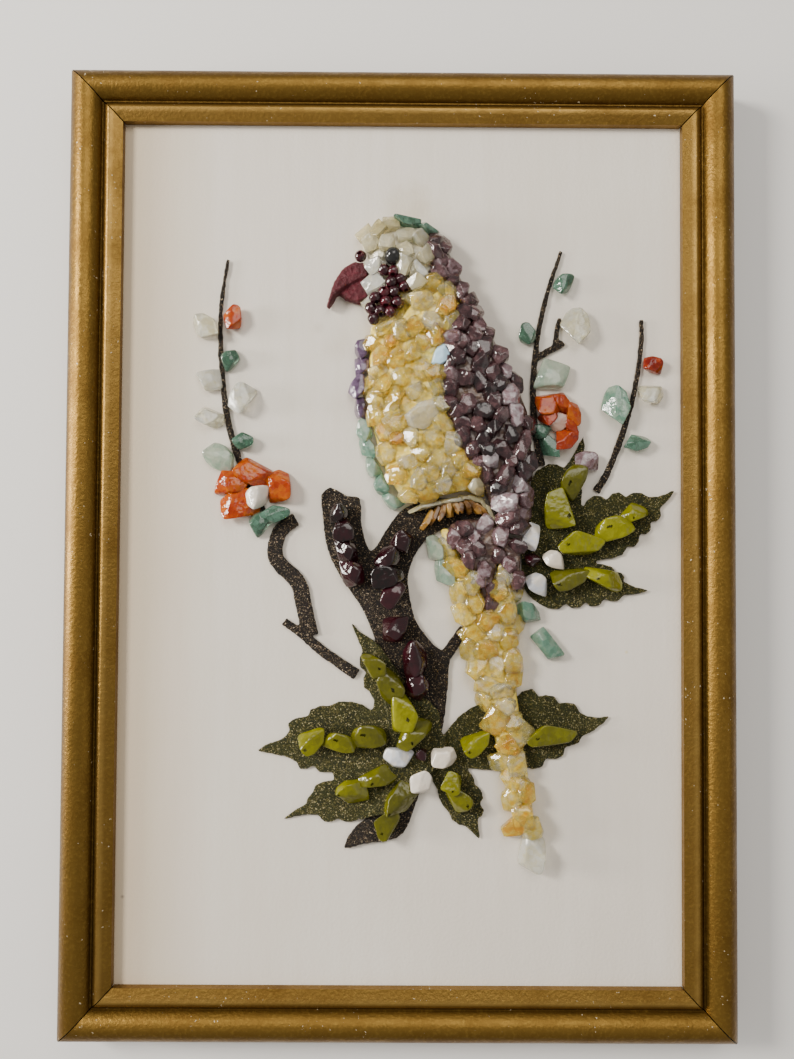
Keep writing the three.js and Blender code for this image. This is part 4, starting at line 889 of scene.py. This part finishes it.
# Loose stones: x, y, length, width, height, turn in degrees
sheetTops = {"branch": 1.5, "leaf": 1.3, "draped": 2.8}
looseStones = {
    "chestRow": {"stone": "violet", "tones": (0.35, 0.75), "nodes": ["parrot_chest_row"], "specs": [
        (-13.4, 69, 8.6, 5.1, 4.4, 82), (-13.4, 62.2, 7, 5.2, 4.2, 95), (-14.4, 55.4, 8.8, 6.4, 4.6, 70),
        (-13.4, 48, 8.2, 5.4, 4.4, 100)]},
    "bellyRow": {"stone": "aventurine", "tones": (0.6, 0.85), "nodes": ["parrot_belly_row"], "specs": [
        (-12.8, 40.6, 8, 5.4, 3.8, 108), (-11.5, 34.8, 8.4, 5, 3.8, 105), (-9.5, 28.2, 8.2, 5, 3.6, 112),
        (-6.8, 22, 8.2, 5, 3.8, 122), (-2.9, 16.8, 7.8, 5, 3.8, 140)]},
    "clawStones": {"stone": "claw", "model": "long", "lift": "branch", "tones": (0.3, 0.9),
        "nodes": ["parrot_claws"], "specs": [
        (9.3, 10.4, 8, 2.7, 3.2, 62), (11.6, 12.1, 8, 2.7, 3.2, 66), (13.9, 13.4, 7.5, 2.7, 3.2, 70),
        (16.3, 14.5, 6.5, 2.7, 3.2, 98), (18.3, 15.1, 6, 2.7, 3.2, 112), (20.3, 15.3, 5.5, 2.7, 3.2, 104),
        (22.4, 15.5, 6.5, 2.7, 3.2, 118), (24.7, 15, 7, 2.7, 3.2, 132), (27.1, 14.1, 7.5, 2.7, 3.2, 140)]},
    "crownSlivers": {"stone": "aventurine", "model": "long", "tones": (0.5, 0.62),
        "nodes": ["parrot_crown_slivers"], "specs": [
        (1.6, 111, 9.4, 3.6, 9.2, -8), (8.6, 108.6, 8, 3, 8.8, -24)]},
    "glueLip": {"stone": "quartz", "model": "long", "lift": "branch", "tones": (0.35, 0.7),
        "specs": [
        (5.5, 14.1, 6.4, 2, 3.6, 30), (8.9, 15.2, 6.4, 2, 3.6, 14), (12.3, 16, 6.4, 2, 3.6, 12),
        (15.6, 16.7, 6.4, 2, 3.6, 10), (19, 17.4, 6.4, 2, 3.6, 6), (22.4, 18, 6.4, 2, 3.6, 0),
        (25.4, 17.5, 6.4, 2, 3.6, -22), (28.1, 15.5, 6.4, 2, 3.6, -48), (30.2, 12.8, 6.4, 2, 3.6, -56),
        (32.2, 10.1, 6.4, 2, 3.6, -52)]},
    "tailTip": {"stone": "quartz", "tones": (0.85, 0.95), "nodes": ["tail_tip_crystal"], "specs": [
        (44.6, -100.6, 13.4, 10, 5.2, 98)]},
    "tailLeft": {"stone": "aventurine", "tones": (0.75, 0.95), "nodes": ["tail_left_chips"], "specs": [
        (11.4, 1, 9, 6.4, 4.2, 115), (15, -7.4, 10, 6.6, 3.8, 100)]},
    "tailRight": {"stone": "aventurine", "model": "long", "tones": (0.6, 0.85),
        "nodes": ["tail_right_upper_chip", "tail_right_lower_chip"], "specs": [
        (43.4, -20.8, 9.2, 6.4, 4, -50), (49.8, -31.6, 11.8, 5.8, 3.8, -52)]},
    "leftPetals": {"stone": "carnelian", "tones": (0.2, 0.8), "nodes": ["left_flower_petals"], "specs": [
        (-50, 26.2, 13.4, 9.4, 4.2, -12), (-57.2, 22.4, 10.6, 10, 4, 70), (-41.6, 21.4, 11, 10.4, 3.8, 120),
        (-54.6, 14.8, 13.4, 11.4, 4, 35)]},
    "leftHeart": {"stone": "howlite", "tones": (0.6, 0.9), "nodes": ["left_flower_heart"], "specs": [
        (-49, 18, 8.8, 7.8, 5.4, 80)]},
    "leftSepals": {"stone": "aventurine", "tones": (0.35, 0.6), "nodes": ["left_flower_sepals"], "specs": [
        (-42.4, 12.2, 10.4, 6, 4.4, 14), (-47.6, 9.4, 8.4, 7.4, 4.6, 40)]},
    "centrePetals": {"stone": "carnelian", "tones": (0.2, 0.8), "nodes": ["centre_flower_petals"], "specs": [
        (50.1, 50.2, 9.6, 9.2, 4.2, 30), (50.3, 46.6, 8, 6.4, 3.8, 70), (55.2, 50.6, 8.4, 6, 4, -40),
        (58.2, 46.6, 8.6, 5.8, 4, -74), (58.1, 42.2, 6.6, 5.4, 3.8, -60), (55.9, 38.4, 9.4, 7.6, 4.2, 18)]},
    "centreHeart": {"stone": "rose", "tones": (0.6, 0.8), "specs": [
        (53.4, 44.3, 7.4, 6.8, 3, 20)]},
    "centreGreens": {"stone": "aventurine", "tones": (0.3, 0.6), "nodes": ["centre_flower_greens"], "specs": [
        (47.6, 41, 6.2, 5.4, 3.6, 60), (50.2, 35.6, 9.2, 5.6, 4, 108)]},
    "upperJade": {"stone": "jade", "model": "drilled", "lift": "leaf", "tones": (0.25, 0.85),
        "nodes": ["upper_leaf_jade_1", "upper_leaf_jade_2", "upper_leaf_jade_3"], "specs": [
        (57.8, 23.8, 12.8, 7.8, 4.4, 72), (53, 14.6, 13.8, 9.4, 4.8, 96), (60.6, 3, 16.2, 8.4, 4.6, 6),
        (71.4, 8, 13.8, 8.2, 4.4, 24), (79, 12.6, 8.6, 7.2, 4, 50), (57.2, -9.4, 13, 7.2, 4.4, 6),
        (68.4, -9.4, 14, 7.2, 4.4, -8)]},
    "drapedJade": {"stone": "jade", "model": "drilled", "lift": "draped", "tones": (0.25, 0.85),
        "nodes": ["lower_leaf_jade_1"], "specs": [
        (-8.4, -38, 10.2, 6.8, 4.2, 122), (-3.6, -45, 11.6, 8.4, 4.4, 126), (1.4, -53.2, 15.2, 9, 5, 96),
        (5, -61.4, 12.2, 9.2, 4.8, 70)]},
    "lowerJade": {"stone": "jade", "model": "drilled", "lift": "leaf", "tones": (0.25, 0.85),
        "nodes": ["lower_leaf_jade_" + str(i) for i in range(2, 8)], "specs": [
        (-28.8, -64, 9.6, 7.6, 4.2, 20), (-20.2, -64, 11.8, 6.4, 4, -6), (-10.8, -62, 12.8, 8, 4.4, 10),
        (-7, -76.4, 12.6, 7.2, 4.2, 28), (-15.8, -80.8, 10.6, 8, 4.2, 12), (0.2, -83.2, 13, 8.6, 4.8, 56),
        (-4.2, -90.6, 11.4, 8, 4.4, 62), (26, -64.6, 10.2, 7, 4.2, 20), (50.8, -61.4, 17.2, 7.8, 4.4, 8),
        (17.2, -77.4, 8, 7.4, 4.2, 100), (20.2, -82.6, 9, 7.2, 4, 120)]},
    "branchGarnets": {"stone": "garnet", "model": "round", "lift": "branch", "tones": (0.0, 0.5),
        "nodes": ["branch_garnets_" + str(i) for i in range(1, 5)], "specs": [
        (-20.8, 12.6, 6.8, 6.4, 4.4, 90), (-19.4, 6.8, 7.8, 7.2, 4.6, 100), (-18.2, -0.2, 8.8, 7.2, 4.6, 100),
        (-16.2, -7.4, 9.4, 7.8, 4.8, 100), (0.6, 2.8, 7.8, 7.4, 4.8, 45), (-4, -2.4, 9, 7.6, 5, 60),
        (-4.4, -8.6, 11.2, 7.6, 5, 10), (-2.8, -14.4, 10.2, 7, 4.8, 50), (-1.6, -26.4, 8.8, 8.6, 5.2, 0),
        (5, -36.2, 13, 8.2, 5.4, 96), (5.8, -44.8, 9.6, 8.2, 5, 60)]},
    "leafGarnets": {"stone": "garnet", "model": "round", "lift": "leaf", "tones": (0.2, 0.4),
        "specs": [
        (44.5, -2.9, 4.8, 4.6, 4, 10), (7.5, -68.2, 4.4, 4.2, 4, 60)]},
    "whiteStones": {"stone": "howlite", "lift": "leaf", "tones": (0.3, 0.95),
        "nodes": [
            "upper_leaf_shell_top", "upper_leaf_howlite", "upper_leaf_shell_bottom",
            "lower_leaf_howlite_left", "lower_leaf_howlite_right", "lower_leaf_howlite_bottom"], "specs": [
        (44.2, 5, 9.8, 6.4, 3.8, 95), (51.8, -2.6, 8.2, 6, 3.6, -10), (46.2, -10.8, 8.6, 6.8, 3.8, -20),
        (-0.6, -69, 9.6, 7.6, 4.2, 160), (14.6, -68.8, 8.8, 7.8, 4.2, 20), (7, -77, 8.4, 7.2, 4.2, 60)]},
    "stemQuartz": {"stone": "quartz", "tones": (0.8, 0.98),
        "nodes": ["left_stem_quartz_top", "left_stem_quartz_middle", "centre_stem_quartz"], "specs": [
        (-66.8, 76, 10, 7.6, 4, 120), (-54.2, 51.4, 10.6, 9, 4.2, 80), (59.4, 77, 11.6, 10.2, 4.2, 60),
        (-65.5, 57.5, 8.6, 7.2, 3.6, 10), (-65, 45, 9.6, 7.2, 3.6, -5), (85, 54, 8.6, 7.8, 3.6, 20)]},
    "stemGreens": {"stone": "aventurine", "tones": (0.65, 0.98),
        "nodes": ["left_stem_green_bottom", "centre_stem_green", "right_stem_green"], "specs": [
        (-61.6, 31.4, 11.4, 8.8, 4, -20), (51.2, 59.4, 11.4, 10, 4.2, 70), (73, 50, 12.8, 9.2, 4.2, 75)]},
    "stemAventurine": {"stone": "aventurine", "tones": (0.2, 0.55), "specs": [
        (-58.5, 65, 6.6, 6.8, 3.6, 30), (-53.5, 37, 7.2, 5.8, 3.6, 10), (42.5, 74, 7.8, 6, 3.6, 110),
        (55, 91.5, 8.2, 6, 3.6, 70), (80, 37, 9.2, 5.8, 3.6, -6)]},
    "stemCarnelian": {"stone": "carnelian", "tones": (0.3, 0.7), "specs": [
        (-57.5, 79, 8.8, 6.4, 3.6, 80), (85.5, 63.5, 7, 6.6, 3.6, 10)]},
    "stemAmethyst": {"stone": "amethyst", "tones": (0.7, 0.85), "specs": [
        (63, 30.5, 8.4, 7.8, 3.6, 20)]},
}


# Beads with a drilled hole through them
beads = {
    "cheekBeads": {"stone": "garnet", "across": 4.2, "rise": 4.9, "nodes": ["parrot_cheek_beads"], "places": [
        (-6.1, 94), (-3, 93.4), (-0.4, 91), (-3.6, 89.9), (1, 88.4), (-2.6, 86.6), (-6, 86.6), (-9, 84.6),
        (-5.4, 83.2), (-1.6, 83), (-10.4, 81), (-7.4, 80), (-4, 79.8), (-9.6, 77.4)]},
    "nostrilBead": {"stone": "garnet", "across": 4.1, "rise": 2.3, "nodes": ["parrot_nostril"], "places": [
        (-14.1, 99.5)]},
    "eyeBead": {"stone": "hematite", "across": 5.9, "rise": 5.2, "nodes": ["parrot_eye"], "places": [
        (-3.1, 98.3)]},
}


def modelBead():
    clearSelection()
    bpy.ops.mesh.primitive_uv_sphere_add(segments=20, ring_count=12, radius=0.5)
    bead = nameActive("drilledBead")
    editCorners(bead, lambda place: abs(place.z) > 0.47)
    bpy.ops.mesh.delete(type="VERT")
    selectMesh()
    bpy.ops.mesh.select_non_manifold(extend=False)
    for shrink in ((0.72, 0.72, 0.93), (0.9, 0.9, 0.4)):  # the hole's rim, then its wall
        pullMesh(0, 0, 0)
        bpy.ops.transform.resize(value=shrink)
    bpy.ops.mesh.edge_face_add()
    closeMesh()
    bpy.ops.object.shade_smooth_by_angle(angle=math.radians(50))
    return bead


def placeBead(model, name, group, place, dice):
    across = group["across"]
    matrix = (
        Matrix.Translation(onBoard(*place, group["rise"] + across / 2))
        @ Matrix.Rotation(dice.uniform(0, math.tau), 4, "Z") @ Matrix.Rotation(dice.uniform(0.4, 1.3), 4, "X")
        @ Matrix.Diagonal((across / 1000, across / 1000, across / 1000 * 0.96, 1))
    )
    return copyStone(model, name, matrix, dice.uniform(0.35, 0.65))


# The beak: soft, folded leather
beakShape = {"grain": 0.0003, "soften": 26, "foldSize": 0.0016, "foldDepth": 0.0008}


def makeBeak(finish):
    beak = softCopy("parrot_beak", "leatherBeak", beakShape)
    folds = unevenness("beakFolds", beakShape["foldSize"])
    applyModifier(beak, "DISPLACE", texture=folds, strength=beakShape["foldDepth"], mid_level=0.5)
    bpy.ops.object.shade_smooth()
    fitPiece(beak, finish, "beak", "parrot_beak")


def near(value):
    return min(1, max(0, value))


def citrineTone(x, y, dice):
    return max(0.18, near(dice.gauss(0.55, 0.18) + (0.10 if y > 72 else 0)))


def tailTone(x, y, dice):
    return max(0.2, near(dice.gauss(0.55, 0.18)))


def amethystTone(x, y, dice):
    # darkest in the middle of the wing, paler along its outer edge and low down
    shade = 0.52 - 0.30 * math.exp(-((y - 50) / 16) ** 2) + 0.10 * (y < 24)
    return near(dice.gauss(shade, 0.15))


def undertailTone(x, y, dice):
    return near(dice.gauss(0.60, 0.15))


def quartzTone(x, y, dice):
    return near(dice.gauss(0.60 - 0.25 * (y > 106), 0.14))


# Mosaics: how the chips lie, and the odd ones out as x, y, length, width, turn, tone and stone
mosaics = {
    "headChips": {
        "node": "parrot_head", "stone": "quartz", "model": "tile", "seed": 4, "apart": 4.5, "darts": 2500,
        "longer": (1.25, 1.45), "wider": (1.15, 1.30), "grain": 0.1, "stray": 0.25, "thick": 2.4,
        "sink": 1.15, "tilt": 0.10, "edgeFall": 2.5, "tone": quartzTone, "chosen": [
            (6, 93.7, 6.4, 2.6, -55, 0.98), (-9.7, 90, 7.4, 6.4, 20, 0.97), (-9.4, 95.6, 6, 5.6, 0, 0.95),
            (8, 98.6, 6.6, 5.6, 80, 0.5)]},
    "breastChips": {
        "node": "parrot_breast", "stone": "citrine", "model": "slab", "seed": 9, "apart": 4.6, "darts": 5000,
        "longer": (1.50, 2.00), "wider": (1.30, 1.60), "grain": 1.3, "stray": 0.9, "thick": 2.9, "sink": 1.35,
        "tilt": 0.20, "edgeFall": 2.5, "tone": citrineTone, "chosen": [
            # the pale blue chip is a painted reflection of the sky in a flat facet
            (13.2, 64.8, 8, 5.2, 88, 0.9, "opal"), (7.7, 45.4, 14, 9.4, 14, 0.9, "quartz"),
            (-3.8, 70.1, 5.4, 4.4, 20, 0.12), (-1.4, 37.2, 5.8, 4.6, 10, 0.12),
            (6.8, 83.6, 8.4, 6.8, 10, 0.75), (14.8, 81.9, 7.6, 6.4, 70, 0.22), (4.5, 53.5, 6.6, 5.2, 60, 0.9),
            (2, 29.5, 6.4, 5, 10, 0.9), (14, 22, 7.6, 6, 30, 0.85), (25, 21.5, 8, 5, -40, 0.6, "quartz")]},
    "wingChips": {
        "node": "parrot_wing", "stone": "amethyst", "model": "slab", "seed": 12, "apart": 4.1, "darts": 5000,
        "longer": (1.55, 2.05), "wider": (1.25, 1.60), "grain": 1.9, "stray": 0.6, "thick": 3.0, "sink": 1.4,
        "tilt": 0.20, "edgeFall": 2.5, "tone": amethystTone, "chosen": [
            (29.5, 30.6, 6, 6, 0, 1.0), (36.5, 52.2, 8, 6, 100, 0.88), (38.3, 46, 9, 5, 120, 0.86),
            (34.8, 16, 9.6, 7.4, -15, 0.93), (30.7, 40.9, 5.6, 5, 60, 0.0), (35.9, 39.1, 7, 4.4, 110, 0.0),
            (32, 21.3, 6, 6, 0, 0.08), (40.5, 35.7, 12, 5, 86, 0.5), (35.7, 11, 8.4, 6.4, -25, 0.55),
            (34.8, 60.5, 6.6, 4.6, 110, 0.84), (28.3, 33.2, 6, 5, 130, 0.05)]},
    "tailChips": {
        "node": "tail", "stone": "citrine", "model": "slab", "seed": 15, "apart": 5.2, "darts": 4000,
        "longer": (1.45, 1.90), "wider": (1.25, 1.55), "grain": 1.4, "stray": 0.8, "thick": 2.3, "sink": 1.0,
        "tilt": 0.15, "edgeFall": 1.0, "tone": tailTone, "chosen": []},
    "undertailChips": {
        "node": "undertail_feathers", "stone": "amethyst", "model": "slab", "seed": 18, "apart": 4.3,
        "darts": 3000, "longer": (1.30, 1.70), "wider": (1.10, 1.35), "grain": 1.7, "stray": 0.6,
        "thick": 2.4, "sink": 1.1, "tilt": 0.15, "edgeFall": 1.0, "tone": undertailTone, "chosen": [
            (28.5, 9.4, 7, 5.4, 60, 0.86), (33.6, 5.3, 7.4, 6, 80, 0.75), (23, -3.1, 6.4, 5, 90, 0.5)]},
}


makeCamera()
makeStudio()
print("camera and studio ready")

finishes = {name: makeStoneFinish(name, look) for name, look in stoneLooks.items()}
finishes.update({name: makeFlockFinish(name, look) for name, look in flockLooks.items()})
beds = {name: makeBedFinish(name + "Bed", shades) for name, shades in bedLooks.items()}
print("finishes ready")

makeRails(makeGiltFinish())
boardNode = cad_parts["board"]
boardNode.data.materials.clear()
boardNode.data.materials.append(makeBoardFinish())
print("frame and board ready")

for node in ("branch", "left_twig", "left_stem", "centre_stem", "right_stem"):
    makeSheet(node, "flocked_" + node, finishes["black_flock"], "black_flock")
for node in ("lower_leaf", "upper_leaf"):
    makeSheet(node, "flocked_" + node, finishes["olive_flock"], "olive_flock")
print("flocked sheets ready")

models = {
    kind: [modelStone(kind + str(i), 100 * len(kind) + i, look) for i in range(look["count"])]
    for kind, look in stoneModels.items()
}
bead = modelBead()
print("stone models ready", {kind: len(made) for kind, made in models.items()})

for name, look in mosaics.items():
    makeBed(look["node"], name.replace("Chips", "Bed"), beds[look["stone"]], look["stone"])
    layMosaic(name, look["node"], models[look["model"]], look)
for name, group in looseStones.items():
    layStones(name, group)
beadDice = random.Random(21)
for name, group in beads.items():
    strung = [placeBead(bead, name, group, place, beadDice) for place in group["places"]]
    fitPiece(joinPieces(strung, name), finishes[group["stone"]], group["stone"], *group["nodes"])
makeBeak(makeBeakFinish())
for model in [stone for made in models.values() for stone in made] + [bead]:
    bpy.data.objects.remove(model)
print("mosaics and stones ready")
